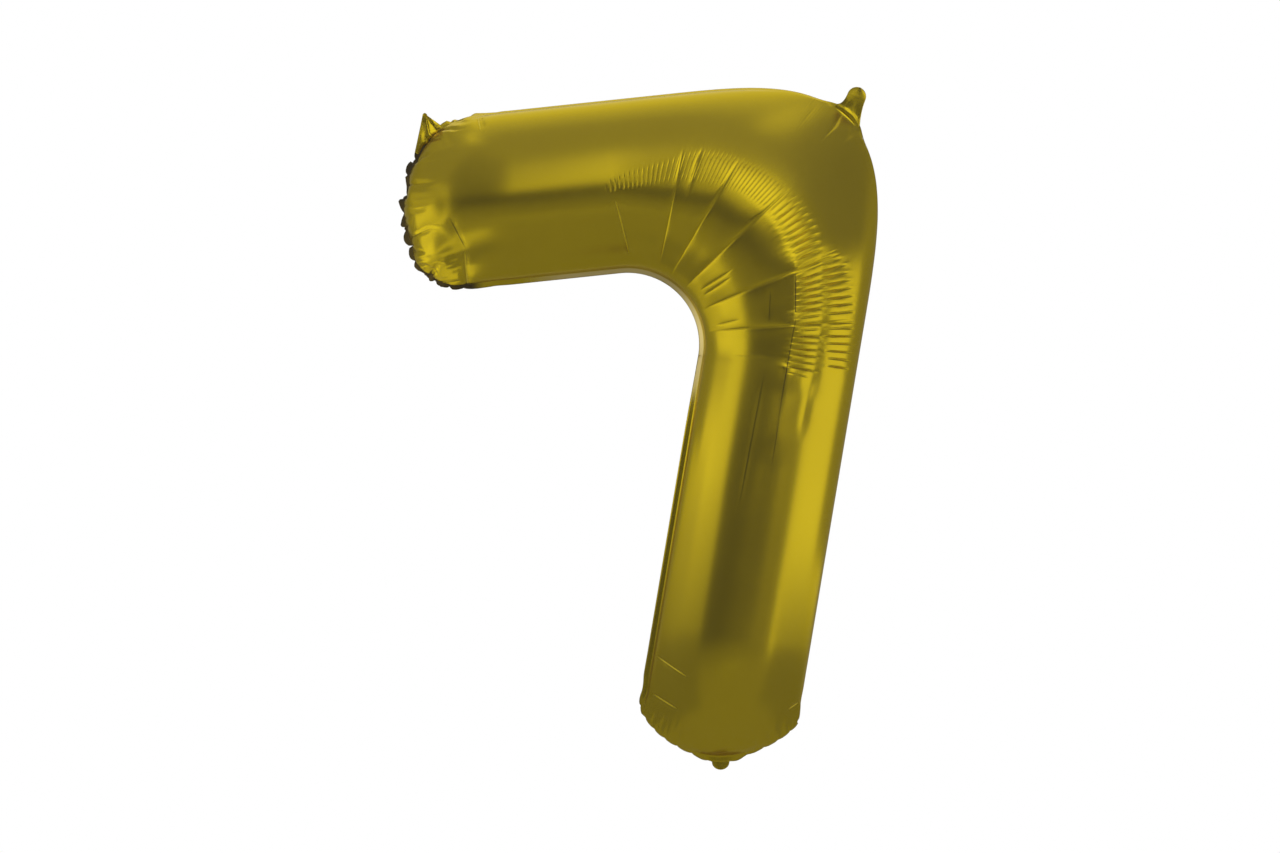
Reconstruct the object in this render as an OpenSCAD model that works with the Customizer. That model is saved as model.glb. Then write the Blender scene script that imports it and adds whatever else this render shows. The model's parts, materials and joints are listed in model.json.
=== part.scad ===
// Foil number balloon, the figure seven, inflated.
// Two metallised film panels are welded round their edge, with a flat film valve in the foot seam,
// two hanging tabs on the upper corners and a filling tail under the foot.
// X runs to the right, Y from front to back and Z up. The tabs' front faces lie in the plane Y = 0.
// The origin is the middle of the right hanging tab's front face.

/* [Figure outline, along the seam] */
// Radius of the inside bend between arm and stem
crook_r = 97; // [90:1:120]
// Height of the arm
arm_w = 210; // [180:1:230]
// Width of the stem
stem_w = 194; // [180:1:230]
// Reach of the arm's free end from the bend's centre
arm_reach = 260; // [240:1:320]
// Drop of the foot from the bend's centre, along the stem
stem_drop = 495; // [420:1:600]
// Slope of the arm, rising towards the bend
arm_slope = 6; // [0:0.5:10]
// Lean of the stem from upright
stem_lean = 9.5; // [4:0.5:14]
// Sharpness of the outer corner
corner_power = 3.2; // [2.8:0.1:5]
// Length of the arm's rounded end
arm_round = 75; // [60:1:100]
// Fullness of the arm's rounded end, where less is fuller
arm_end_power = 1.05; // [0.8:0.05:1.3]
// How far the arm's lower corner reaches beyond its upper one
arm_end_rake = 27; // [0:1:40]
// Length of the foot's rounded end
foot_round = 50; // [40:1:80]
// Fullness of the foot's rounded end, where less is fuller
foot_end_power = 1.6; // [1:0.05:1.8]
// How far the foot's left corner reaches beyond its right one
foot_end_rake = 19; // [0:1:30]

/* [Inflated depth, front to back] */
// Depth of the arm
arm_depth = 186; // [140:1:210]
// Depth of the bend
bend_depth = 212; // [150:1:230]
// Depth of the stem
stem_depth = 184; // [140:1:210]
// Length over which the arm's end swells to its full depth
arm_swell_len = 66; // [50:1:90]
// Length over which the foot swells to its full depth
foot_swell_len = 110; // [60:1:150]
// How far the film of an end is pushed out at half its swell, so that it leaves the seam steeply
end_puff = 15; // [5:1:20]

/* [Gathers round the bend] */
// How far the bend's crown moves out towards the corner
crown_out = 30; // [10:1:40]
// Number of gores between the creases that fan out from the inside bend
gores = 6; // [4:1:8]
// How far a gore stands proud of its creases
gore_rise = 3; // [1:0.5:5]

/* [Film and seam] */
// Thickness of one film panel
film_t = 0.05; // [0.03:0.01:0.1]
// Thickness of the fused sealant between the panels
seal_t = 0.1; // [0.06:0.01:0.2]
// Width of the welded seam
seam_w = 8; // [5:0.5:12]

/* [Hanging tabs] */
// Length of the right tab from the seam's edge
right_tab_len = 34; // [26:1:45]
// Radius of the right tab's round tip
right_tab_tip_r = 12; // [8:0.5:14]
// Width of the right tab's flared root
right_tab_root_w = 42; // [32:1:52]
// How far the right tab's sides are drawn in, as a share of its length
right_tab_waist = 0.7; // [0.3:0.05:0.8]
// Length of the left tab from the seam's edge
left_tab_len = 27; // [20:1:36]
// Radius of the left tab's pointed tip
left_tab_tip_r = 3; // [2:0.5:5]
// Width of the left tab's flared root
left_tab_root_w = 54; // [40:1:64]
// How far the left tab's sides are drawn in, as a share of its length
left_tab_waist = 0.35; // [0.3:0.05:0.8]
// Place of the right tab round the outer corner, seen from the bend's centre, from level
right_tab_place = 47; // [38:1:54]
// Place of the left tab round the arm's end, as an angle from its lower corner
left_tab_place = 138; // [130:1:150]
// Direction in which the right tab points, from level
right_tab_lean = 68; // [50:1:80]
// Direction in which the left tab points, from level
left_tab_lean = 100; // [85:1:130]
// Gap left along each tab's crease
crease_gap = 0.3; // [0.2:0.05:0.6]

/* [Filling tail and valve] */
// Width of the filling tail and of the valve's neck
tail_w = 22; // [16:1:30]
// Distance of the filling tail from the stem's middle, towards the outer edge
tail_off = 8; // [0:1:15]
// Length of the filling tail below the seam
tail_len = 9.5; // [9:0.5:16]
// Width of the valve inside the balloon
valve_w = 36; // [32:1:50]
// Length of the valve inside the balloon
valve_len = 150; // [100:1:200]
// Thickness of one valve ply
valve_ply_t = 0.04; // [0.02:0.005:0.05]
// Width of the weld along each of the valve's long edges
valve_weld_w = 5; // [3:0.5:6]

/* [Hidden] */

gold = "#a08a28";
clear = "#d9dcd6";

// Steps of the grid of film: round each end, along the arm, round each gore of the bend,
// down the stem and across half a rib.
end_steps = 7;
arm_steps = 6;
gore_steps = 6;
stem_steps = 8;
half_rib_steps = 10;
bend_steps = gores * gore_steps;

stations = 2 * end_steps + arm_steps + bend_steps + stem_steps;
columns = 2 * half_rib_steps + 2;
tab_t = 2 * film_t + seal_t;

// Unit vectors of the arm, rightwards, and of the stem, upwards, with the normals that point
// from the bend's centre to their outer edges.
arm_dir = [cos(arm_slope), sin(arm_slope)];
arm_out = [-sin(arm_slope), cos(arm_slope)];
stem_dir = [sin(stem_lean), cos(stem_lean)];
stem_out = [cos(stem_lean), -sin(stem_lean)];
arm_angle = 90 + arm_slope;
stem_angle = -stem_lean;
straight_arm = arm_reach - arm_round - arm_swell_len;
straight_stem = stem_drop - foot_round - foot_swell_len;

function mix(a, b, k) = a + (b - a) * k;
function unit(v) = v / norm(v);
function heading(a) = [cos(a), sin(a)];
function turned(v) = [v[1], -v[0]];
function ramp(from, to, x) = let (k = max(0, min(1, (x - from) / (to - from)))) k * k * (3 - 2 * k);

// Distance from the bend's centre to the outer seam: the two straight edges, blended at the corner.
function outer_reach(a) =
    let (top = max(0, cos(a - arm_angle)) / (crook_r + arm_w),
         side = max(0, cos(a - stem_angle)) / (crook_r + stem_w))
    pow(pow(top, corner_power) + pow(side, corner_power), -1 / corner_power);

// How far a corner between arm and stem reaches beyond the tube's own width.
function pocket(a, w) = outer_reach(a) - crook_r - w;
deepest_pocket = pocket((arm_angle + stem_angle) / 2, (arm_w + stem_w) / 2);

// A rib crosses the figure from the inner seam to the outer one. It is
// [inner end, outer end, bulge of a rounded end, power of that bulge, half depth, swell angle,
// place of the crown as a share of the rib, share of the corner pocket, height of the gore].
function bulge(round_len, swell) = round_len * cos(swell) + end_puff * sin(2 * swell);
function arm_rib(x, swell) =
    let (rake = arm_end_rake / 2 * cos(swell))
    [crook_r * arm_out - (x + rake) * arm_dir, (crook_r + arm_w) * arm_out - (x - rake) * arm_dir,
     -bulge(arm_round, swell) * arm_dir, arm_end_power, arm_depth / 2 * sin(swell), swell, 1 / 2, 0, 0];
function stem_rib(x, swell) =
    let (rake = foot_end_rake / 2 * cos(swell))
    [crook_r * stem_out - (x + rake) * stem_dir, (crook_r + stem_w) * stem_out - (x - rake) * stem_dir,
     -bulge(foot_round, swell) * stem_dir, foot_end_power, stem_depth / 2 * sin(swell), swell, 1 / 2, 0, 0];
function bend_rib(k) =
    let (a = mix(arm_angle, stem_angle, k), w = mix(arm_w, stem_w, k), reach = outer_reach(a),
         corner = ramp(0, deepest_pocket, pocket(a, w)), u = k * gores - floor(k * gores))
    [crook_r * heading(a), reach * heading(a), [0, 0], 1,
     mix(arm_depth, stem_depth, k) / 2
         + (bend_depth - mix(arm_depth, stem_depth, k)) / 2 * pow(sin(180 * k), 2), 90,
     (w / 2 + crown_out * corner) / (reach - crook_r), corner, gore_rise * 4 * u * (1 - u)];

function rib(i) =
    i <= end_steps ?
        let (k = i / end_steps) arm_rib(straight_arm + arm_swell_len * (1 - k), 90 * k)
    : i <= end_steps + arm_steps ?
        arm_rib(straight_arm * (1 - (i - end_steps) / arm_steps), 90)
    : i <= end_steps + arm_steps + bend_steps ?
        bend_rib((i - end_steps - arm_steps) / bend_steps)
    : i <= stations - end_steps ?
        stem_rib(straight_stem * (1 - (stations - end_steps - i) / stem_steps), 90)
    :
        let (k = (stations - i) / end_steps) stem_rib(straight_stem + foot_swell_len * (1 - k), 90 * k);
ribs = [for (i = [0:stations]) rib(i)];

// Angle round a rib's half circle. Two columns lie on the edges of the filling tail, which is off
// the stem's middle.
tail_angle = asin(tail_w / stem_w);
tail_shift = asin(2 * tail_off / stem_w);
column_step = (90 - tail_angle) / half_rib_steps;
function even_angle(j) =
    j <= half_rib_steps ? column_step * j
    : j == half_rib_steps + 1 ? 90
    : 180 - even_angle(columns - j);
function rib_angle(j) = even_angle(j) + tail_shift * sin(even_angle(j));

// A rib is half an ellipse where the figure is straight. In the corner its outer half is a pocket that
// falls almost straight from the crown to the seam. This is how far a point of that half lies on
// its way out, and then the point's place across the rib and its height, both as shares.
function way_out(r, a) = max(0, min(1, mix(-cos(a), a / 90 - 1, r[7])));
function across(r, a) = a < 90 ? r[6] * (1 - cos(a)) : mix(r[6], 1, way_out(r, a));
function lift(r, a) =
    a < 90 ? sin(a) : pow(1 - pow(way_out(r, a), 2 - 0.3 * r[7]), 1 / (2 - r[7]));

// Outward direction of the film at a point, front panel.
function film_normal(i, j) =
    let (r = ribs[i], a = rib_angle(j), over = unit(r[1] - r[0]),
         end = norm(r[2]) > 0 ? unit(r[2]) : [0, 0], flat = -cos(a) * over + sin(a) * cos(r[5]) * end)
    [flat[0], -sin(a) * sin(r[5]), flat[1]];

// How far a gore raises the film. The gores start beside the inner seam and end past the crown.
function gathered(i, j) = let (a = rib_angle(j)) ribs[i][8] * ramp(8, 45, a) * (1 - ramp(90, 135, a));

// A point of the film in the seam's plane, seen from the bend's centre, and its height off that plane.
function plan(i, j) =
    let (r = ribs[i], a = rib_angle(j), n = film_normal(i, j))
    mix(r[0], r[1], across(r, a)) + r[2] * pow(sin(a), r[3]) + gathered(i, j) * [n[0], n[2]];
function swell(i, j) =
    ribs[i][4] * lift(ribs[i], rib_angle(j)) - gathered(i, j) * film_normal(i, j)[1];

// The seam, as grid places in order round the figure: inner side, foot, outer side, arm end.
seam_places = concat(
    [for (i = [0:stations]) [i, 0]],
    [for (j = [1:columns]) [stations, j]],
    [for (i = [stations - 1:-1:0]) [i, columns]],
    [for (j = [columns - 1:-1:1]) [0, j]]);
seam_count = len(seam_places);
seam_line = [for (p = seam_places) plan(p[0], p[1])];
seam_out = [for (n = [0:seam_count - 1])
    turned(unit(seam_line[(n + 1) % seam_count] - seam_line[(n + seam_count - 1) % seam_count]))];
function seam_edge(n, w) = seam_line[n] + w * seam_out[n];
function edge_loop(w) = [for (n = [0:seam_count - 1]) seam_edge(n, w)];

// The neck is the stretch of foot seam that the valve passes through.
neck_first = stations + half_rib_steps;
neck_last = neck_first + 2;
neck_middle = neck_first + 1;

function at_y(p, y) = [p[0], y, p[1]];

// A film panel: the swollen grid with its strip of seam, as a skin of two layers. Side is -1 at
// the front and 1 at the back.
module film_panel(side) {
    inner_y = side * seal_t / 2;
    outer_y = side * (seal_t / 2 + film_t);
    row = columns + 1;
    grid_count = (stations + 1) * row;
    layer = grid_count + seam_count;
    on_seam = function (i, j) i == 0 || i == stations || j == 0 || j == columns;
    grid_inner = [for (i = [0:stations]) for (j = [0:columns])
        at_y(plan(i, j), inner_y + side * swell(i, j))];
    grid_outer = [for (i = [0:stations]) for (j = [0:columns])
        let (n = film_normal(i, j))
        at_y(plan(i, j), inner_y + side * swell(i, j))
            + film_t * [n[0], -side * n[1], n[2]]
            + (on_seam(i, j) ? [0, side * film_t, 0] : [0, 0, 0])];
    edge = edge_loop(seam_w);
    points = concat(
        grid_inner, [for (p = edge) at_y(p, inner_y)],
        grid_outer, [for (p = edge) at_y(p, outer_y)]);
    seam_index = [for (p = seam_places) p[0] * row + p[1]];
    quads = concat(
        [for (i = [0:stations - 1]) for (j = [0:columns - 1])
            [i * row + j, i * row + j + 1, (i + 1) * row + j + 1, (i + 1) * row + j]],
        [for (n = [0:seam_count - 1])
            let (m = (n + 1) % seam_count)
            [seam_index[n], seam_index[m], grid_count + m, grid_count + n]]);
    skin = [for (q = quads) each [[q[0], q[1], q[2]], [q[0], q[2], q[3]]]];
    rim = [for (n = [0:seam_count - 1])
        let (a = grid_count + n, b = grid_count + (n + 1) % seam_count)
        each [[a, b, layer + b], [a, layer + b, layer + a]]];
    opposite = [for (f = skin) [layer + f[2], layer + f[1], layer + f[0]]];
    faces = concat(skin, opposite, rim);
    polyhedron(points, side < 0 ? faces : [for (f = faces) [f[2], f[1], f[0]]]);
}

// A flat piece of film cut to an outline in the seam's plane, between two depths.
module film_sheet(front, back) {
    rotate([90, 0, 0]) translate([0, 0, -back]) linear_extrude(back - front) children();
}

// The origin is the middle of the right tab's front face.
module placed() {
    middle = crease[right_root] + right_tab_len / 2 * heading(right_tab_lean);
    translate(at_y(-middle, tab_t / 2)) children();
}

module front_panel() { color(gold) placed() film_panel(-1); }
module back_panel() { color(gold) placed() film_panel(1); }

// The fused band of the seam. It stops on both sides of the neck.
module seam_weld() {
    band = [for (n = [neck_last:neck_first + seam_count]) n % seam_count];
    color(clear) placed() film_sheet(-seal_t / 2, seal_t / 2)
        polygon(concat([for (n = band) seam_line[n]],
            [for (k = [len(band) - 1:-1:0]) seam_edge(band[k], seam_w)]));
}

// The crease that each tab and the tail bend along, just outside the seam's edge.
crease = edge_loop(seam_w + crease_gap);
function along_crease(n, reach, step) =
    let (a = crease[n], b = crease[n + step], span = norm(b - a))
    reach <= span ? [n, mix(a, b, reach / span)] : along_crease(n + step, reach - span, step);

// Outline of a hanging tab: its root follows the crease and its sides curve in to a round tip.
side_steps = 8;
tip_steps = 12;
function curve(a, b, c, k) = mix(mix(a, b, k), mix(b, c, k), k);
function tab_outline(root, lean, len, tip_r, root_w, waist) =
    let (dir = heading(lean), low = along_crease(root, root_w / 2, -1),
         high = along_crease(root, root_w / 2, 1), tip = crease[root] + (len - tip_r) * dir,
         tip_low = tip + tip_r * heading(lean - 90), tip_high = tip + tip_r * heading(lean + 90),
         drawn_in = waist * (len - tip_r) * dir)
    concat(
        [for (k = [0:side_steps - 1]) curve(low[1], tip_low - drawn_in, tip_low, k / side_steps)],
        [for (k = [0:tip_steps]) tip + tip_r * heading(lean - 90 + 180 * k / tip_steps)],
        [for (k = [1:side_steps]) curve(tip_high, tip_high - drawn_in, high[1], k / side_steps)],
        [for (n = [high[0]:-1:low[0]]) crease[n]]);
module hang_tab(root, lean, len, tip_r, root_w, waist) {
    film_sheet(-tab_t / 2, tab_t / 2) polygon(tab_outline(root, lean, len, tip_r, root_w, waist));
}

right_root = 2 * stations + columns - end_steps - arm_steps
    - round(bend_steps * (arm_angle - right_tab_place) / (arm_angle - stem_angle));
left_root = 2 * stations + columns + round((180 - left_tab_place) / column_step);
module right_hang_tab() {
    color(gold) placed()
        hang_tab(right_root, right_tab_lean, right_tab_len, right_tab_tip_r,
            right_tab_root_w, right_tab_waist);
}
module left_hang_tab() {
    color(gold) placed()
        hang_tab(left_root, left_tab_lean, left_tab_len, left_tab_tip_r,
            left_tab_root_w, left_tab_waist);
}

// The tail hangs from the neck as a round lobe. Its two plies leave the filling slit between them.
tail_steps = 24;
tail_dir = seam_out[neck_middle];
module tail_outline() {
    middle = (crease[neck_first] + crease[neck_last]) / 2;
    half = crease[neck_last] - middle;
    polygon(concat(
        [for (k = [0:tail_steps])
            let (a = 180 * k / tail_steps) middle + cos(a) * half + tail_len * sin(a) * tail_dir],
        [crease[neck_middle]]));
}
module tail_front_ply() {
    color(gold) placed() film_sheet(-seal_t / 2 - film_t, -seal_t / 2) tail_outline();
}
module tail_back_ply() {
    color(gold) placed() film_sheet(seal_t / 2, seal_t / 2 + film_t) tail_outline();
}

// The valve is a flat tube of two plies. Its neck fills the gap in the weld.
valve_shoulder = 14;
valve_gap = seal_t - 2 * valve_ply_t;
module valve_neck() {
    polygon(concat([for (n = [neck_first:neck_last]) seam_line[n]],
        [for (n = [neck_last:-1:neck_first]) seam_edge(n, seam_w)]));
}
function valve_side(sign) = [
    [0, sign * tail_w / 2],
    [valve_shoulder, sign * valve_w / 2],
    [valve_len, sign * valve_w / 2]
];
module in_valve() {
    translate(seam_line[neck_middle]) rotate(atan2(-tail_dir[1], -tail_dir[0])) children();
}
module valve_outline() {
    valve_neck();
    in_valve() {
        polygon(concat(valve_side(1), [for (k = [2:-1:0]) valve_side(-1)[k]]));
    }
}
module valve_front_ply() {
    color(clear) placed() film_sheet(-seal_t / 2, -seal_t / 2 + valve_ply_t) valve_outline();
}
module valve_back_ply() {
    color(clear) placed() film_sheet(seal_t / 2 - valve_ply_t, seal_t / 2) valve_outline();
}
module valve_edge_welds() {
    color(clear) placed() film_sheet(-valve_gap / 2, valve_gap / 2)
        in_valve() for (sign = [-1, 1])
            polygon(concat(valve_side(sign),
                [for (k = [2:-1:0]) valve_side(sign)[k] - [0, sign * valve_weld_w]]));
}

front_panel();
back_panel();
seam_weld();
left_hang_tab();
right_hang_tab();
tail_front_ply();
tail_back_ply();
valve_front_ply();
valve_back_ply();
valve_edge_welds();
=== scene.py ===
"""Looks of an inflated foil number balloon, the figure seven.

The two film panels are relaxed as inextensible sheets under pressure, so that their puckers,
gores and ladder wrinkles come from spare film, as they do on the real balloon.
"""
import json
import logging
from dataclasses import dataclass
from enum import Enum

import bpy
import numpy as np
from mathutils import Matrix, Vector


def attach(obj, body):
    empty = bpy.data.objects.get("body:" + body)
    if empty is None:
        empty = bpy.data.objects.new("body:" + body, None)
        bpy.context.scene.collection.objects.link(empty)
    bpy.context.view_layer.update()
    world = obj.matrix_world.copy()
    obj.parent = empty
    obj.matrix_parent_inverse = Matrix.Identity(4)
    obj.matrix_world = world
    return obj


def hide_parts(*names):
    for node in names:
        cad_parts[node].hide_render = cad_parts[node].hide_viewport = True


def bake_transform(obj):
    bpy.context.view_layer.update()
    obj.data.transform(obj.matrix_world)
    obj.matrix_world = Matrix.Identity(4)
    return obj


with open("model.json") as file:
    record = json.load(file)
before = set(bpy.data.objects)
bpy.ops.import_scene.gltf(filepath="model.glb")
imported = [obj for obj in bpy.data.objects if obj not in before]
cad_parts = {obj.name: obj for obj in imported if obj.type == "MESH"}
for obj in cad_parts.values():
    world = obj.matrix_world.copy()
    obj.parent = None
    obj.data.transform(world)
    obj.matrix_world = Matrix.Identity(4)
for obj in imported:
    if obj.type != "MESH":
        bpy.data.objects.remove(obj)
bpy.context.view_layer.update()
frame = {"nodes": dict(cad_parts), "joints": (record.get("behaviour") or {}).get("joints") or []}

LOG = logging.getLogger("balloon")
MM = 0.001
SEED = 7
PLAN_AXES = [0, 2]
BACKWARDS = np.array([0.0, 1.0, 0.0])
WHITE = (1.0, 1.0, 1.0, 1.0)
# Two values between which something changes, or a pair of sizes.
Span = tuple[float, float]
# A round edge stops just short of its pole, so that no face shrinks to a point.
POLE_DEGREES = 89.5
TINY = 1e-9

# The photograph, its scale in the seam's plane and where it shows the bend's centre.
PHOTO_SIZE_PX = (1280, 853)
METRES_PER_PX = 1.2647 * MM
BEND_CENTRE_PX = (627.6, 344.2)
CAMERA_DISTANCE = 3.6
SENSOR_WIDTH_MM = 36.0


class Side(Enum):
    """Which of the two film panels, as the sign of its outward Y."""

    FRONT = -1
    BACK = 1

    @property
    def panel(self) -> int:
        """Its number in arrays that hold both panels."""
        return 0 if self is Side.FRONT else 1


def hex_to_linear(code: str) -> tuple[float, float, float, float]:
    """Turn an sRGB hex colour into linear light.

    Args:
        code: Colour as "#rrggbb".

    Returns:
        Linear red, green and blue, and an alpha of 1.
    """
    channels = np.array([int(code[k:k + 2], 16) for k in (1, 3, 5)]) / 255.0
    linear = np.where(channels <= 0.04045, channels / 12.92, ((channels + 0.055) / 1.055) ** 2.4)
    return (*(float(c) for c in linear), 1.0)


def add_node(tree: bpy.types.NodeTree, kind: str, settings: dict | None = None,
             values: dict | None = None, links: dict | None = None) -> bpy.types.Node:
    """Add one shader node.

    Args:
        tree: Node tree to add to.
        kind: Blender's node type.
        settings: Node properties to set.
        values: Input sockets to set, by name or index.
        links: Input sockets to feed, by name or index, each from an output socket.

    Returns:
        The new node.
    """
    node = tree.nodes.new(kind)
    for name, value in (settings or {}).items():
        setattr(node, name, value)
    for name, value in (values or {}).items():
        node.inputs[name].default_value = value
    for name, source in (links or {}).items():
        tree.links.new(source, node.inputs[name])
    return node


def smooth_step(low: float, high: float, x: np.ndarray) -> np.ndarray:
    """Rise from 0 at low to 1 at high, level at both ends."""
    k = np.clip((x - low) / (high - low), 0.0, 1.0)
    return k * k * (3.0 - 2.0 * k)


def unit(v: np.ndarray) -> np.ndarray:
    """Scale vectors along the last axis to length 1."""
    return v / np.maximum(np.linalg.norm(v, axis=-1, keepdims=True), 1e-12)


def joint(name: str) -> dict:
    """Entry of a joint in the frame."""
    return next(entry for entry in frame["joints"] if entry["name"] == name)


def joint_place(name: str) -> np.ndarray:
    """Place of a joint."""
    return np.array(joint(name)["pos_m"], float)


def joint_outward(name: str) -> np.ndarray:
    """Direction in the seam's plane, square to a folding joint's crease and away from the balloon."""
    axis = joint(name)["axis"]
    return np.array([-axis[2], 0.0, axis[0]])


def from_joint(name: str, points: np.ndarray) -> np.ndarray:
    """Distance of points from a joint."""
    return np.linalg.norm(points - joint_place(name), axis=-1)


def doubled(a: np.ndarray, axis: int) -> np.ndarray:
    """Refine an array by one midpoint between neighbours along an axis."""
    a = np.moveaxis(a, axis, 0)
    fine = np.empty((2 * len(a) - 1, *a.shape[1:]), a.dtype)
    fine[::2] = a
    fine[1::2] = 0.5 * (a[:-1] + a[1:])
    return np.moveaxis(fine, 0, axis)


def new_material(name: str) -> tuple[bpy.types.Material, bpy.types.NodeTree]:
    """Start a material, and give its node tree too."""
    made = bpy.data.materials.new(name)
    made.use_nodes = True
    return made, made.node_tree


@dataclass(frozen=True)
class GoldFilm:
    """Metallised nylon film, vapour coated and tinted: a satin mirror with soft, broad highlights.

    The grain of the real coating is finer. It is drawn as coarse as it needs to show.
    """

    name: str = "metallised_nylon_film_gold_satin"
    colour: str = "#d2b918"
    deep_colour: str = "#c8ae15"
    edge_colour: str = "#efe6b8"
    pale_colour: str = "#e8d288"
    # Colour of the painted shade along sharp folds and round the seam at the arm's end.
    painted_shade_colour: str = "#4a3d18"
    roughness: float = 0.26
    roughness_swing: float = 0.02
    pale_roughness: float = 0.36
    glint_roughness: float = 0.7
    haze: float = 0.016
    cloud_mm: float = 90.0
    grain_mm: float = 1.6
    grain_depth_mm: float = 0.012
    rung_share: float = 0.2
    rung_depth_mm: float = 0.5
    fold_mm: float = 1.0

    def material(self) -> bpy.types.Material:
        """Make the material.

        Returns:
            A metal under a faint haze, whose tint and gloss drift slowly, with a fine grain from the
            coating drum. The attribute "seal" turns it pale and matt where it is 1, and brown where it
            is -1, as painted shade. A thin crease runs wherever "rung" is a whole number, as deep as
            "rung_depth" says, and a thin line where "fold" is 0. That line is painted shade, as dark as
            "fold_shade" says, or below 0 a matt sharp edge that scatters light.
        """
        made, tree = new_material(self.name)
        shader = tree.nodes["Principled BSDF"]
        shader.inputs["Specular Tint"].default_value = hex_to_linear(self.edge_colour)
        where = add_node(tree, "ShaderNodeTexCoord").outputs["Object"]
        cloud, grain = (
            add_node(tree, "ShaderNodeTexNoise", values={"Scale": 1.0 / (size * MM), "Detail": detail},
                     links={"Vector": where}).outputs["Fac"]
            for size, detail in ((self.cloud_mm, 3.0), (self.grain_mm, 2.0)))
        seal, fold, gloom, rung, depth = (
            add_node(tree, "ShaderNodeAttribute", {"attribute_name": name}).outputs["Fac"]
            for name in ("seal", "fold", "fold_shade", "rung", "rung_depth"))
        lines = []
        for place, distance, reach, strength in ((fold, "ABSOLUTE", self.fold_mm, gloom),
                                                 (rung, "PINGPONG", self.rung_share, depth)):
            away = add_node(tree, "ShaderNodeMath", {"operation": distance}, {1: 0.5}, {0: place}).outputs[0]
            near = add_node(tree, "ShaderNodeMapRange", {"interpolation_type": "SMOOTHSTEP"},
                            {"From Max": reach, "To Min": 1.0, "To Max": 0.0},
                            {"Value": away}).outputs["Result"]
            lines.append(add_node(tree, "ShaderNodeMath", {"operation": "MULTIPLY"},
                                  links={0: near, 1: strength}).outputs[0])
        dark, groove = lines
        painted_seam_shade, glint = (
            add_node(tree, "ShaderNodeMath", {"operation": "MULTIPLY"}, {1: -1.0}, {0: mark}).outputs[0]
            for mark in (seal, dark))
        # A Mix node has colours in inputs 6 and 7 and output 2, and numbers in inputs 2 and 3 and output 0.
        tint = add_node(tree, "ShaderNodeMix", {"data_type": "RGBA"},
                        {6: hex_to_linear(self.deep_colour), 7: hex_to_linear(self.colour)},
                        {0: cloud}).outputs[2]
        # Brown painted shade where "seal" is below 0, and along sharp folds where "fold_shade" is above 0.
        for fade, colour in ((seal, self.pale_colour), (painted_seam_shade, self.painted_shade_colour),
                             (dark, self.painted_shade_colour)):
            tint = add_node(tree, "ShaderNodeMix", {"data_type": "RGBA"}, {7: hex_to_linear(colour)},
                            {0: fade, 6: tint}).outputs[2]
        metal = add_node(tree, "ShaderNodeMath", {"operation": "SUBTRACT", "use_clamp": True}, {0: 1.0},
                         {1: glint}).outputs[0]
        gloss = add_node(tree, "ShaderNodeMapRange",
                         values={"To Min": self.roughness - self.roughness_swing,
                                 "To Max": self.roughness + self.roughness_swing},
                         links={"Value": cloud}).outputs["Result"]
        for fade, matt in ((seal, self.pale_roughness), (glint, self.glint_roughness)):
            gloss = add_node(tree, "ShaderNodeMix", values={3: matt}, links={0: fade, 2: gloss}).outputs[0]
        bump = add_node(tree, "ShaderNodeBump",
                        values={"Strength": 1.0, "Distance": self.grain_depth_mm * MM},
                        links={"Height": grain}).outputs["Normal"]
        bump = add_node(tree, "ShaderNodeBump", {"invert": True},
                        {"Strength": 1.0, "Distance": self.rung_depth_mm * MM},
                        {"Height": groove, "Normal": bump}).outputs["Normal"]
        for name, source in (("Base Color", tint), ("Metallic", metal), ("Roughness", gloss),
                             ("Normal", bump)):
            tree.links.new(source, shader.inputs[name])
        haze = add_node(tree, "ShaderNodeBsdfDiffuse", values={"Color": WHITE}).outputs[0]
        mixed = add_node(tree, "ShaderNodeMixShader", values={0: self.haze},
                         links={1: shader.outputs[0], 2: haze})
        tree.links.new(mixed.outputs[0], tree.nodes["Material Output"].inputs[0])
        return made


@dataclass(frozen=True)
class ClearFilm:
    """Blown polyethylene film or sealant: milky, half clear and softly shiny."""

    name: str
    colour: str = "#e4e5df"
    roughness: float = 0.22
    ior: float = 1.51
    transmission: float = 0.6
    streak_mm: float = 4.0
    streak_depth_mm: float = 0.01

    def material(self) -> bpy.types.Material:
        """Make the material.

        Returns:
            A half-clear plastic with faint streaks along the web.
        """
        made, tree = new_material(self.name)
        shader = tree.nodes["Principled BSDF"]
        for name, value in (("Base Color", hex_to_linear(self.colour)), ("Roughness", self.roughness),
                            ("IOR", self.ior), ("Transmission Weight", self.transmission)):
            shader.inputs[name].default_value = value
        where = add_node(tree, "ShaderNodeTexCoord").outputs["Object"]
        streak = add_node(tree, "ShaderNodeTexNoise",
                          values={"Scale": 1.0 / (self.streak_mm * MM), "Detail": 1.0},
                          links={"Vector": where}).outputs["Fac"]
        bump = add_node(tree, "ShaderNodeBump",
                        values={"Strength": 1.0, "Distance": self.streak_depth_mm * MM},
                        links={"Height": streak}).outputs["Normal"]
        tree.links.new(bump, shader.inputs["Normal"])
        return made


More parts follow.
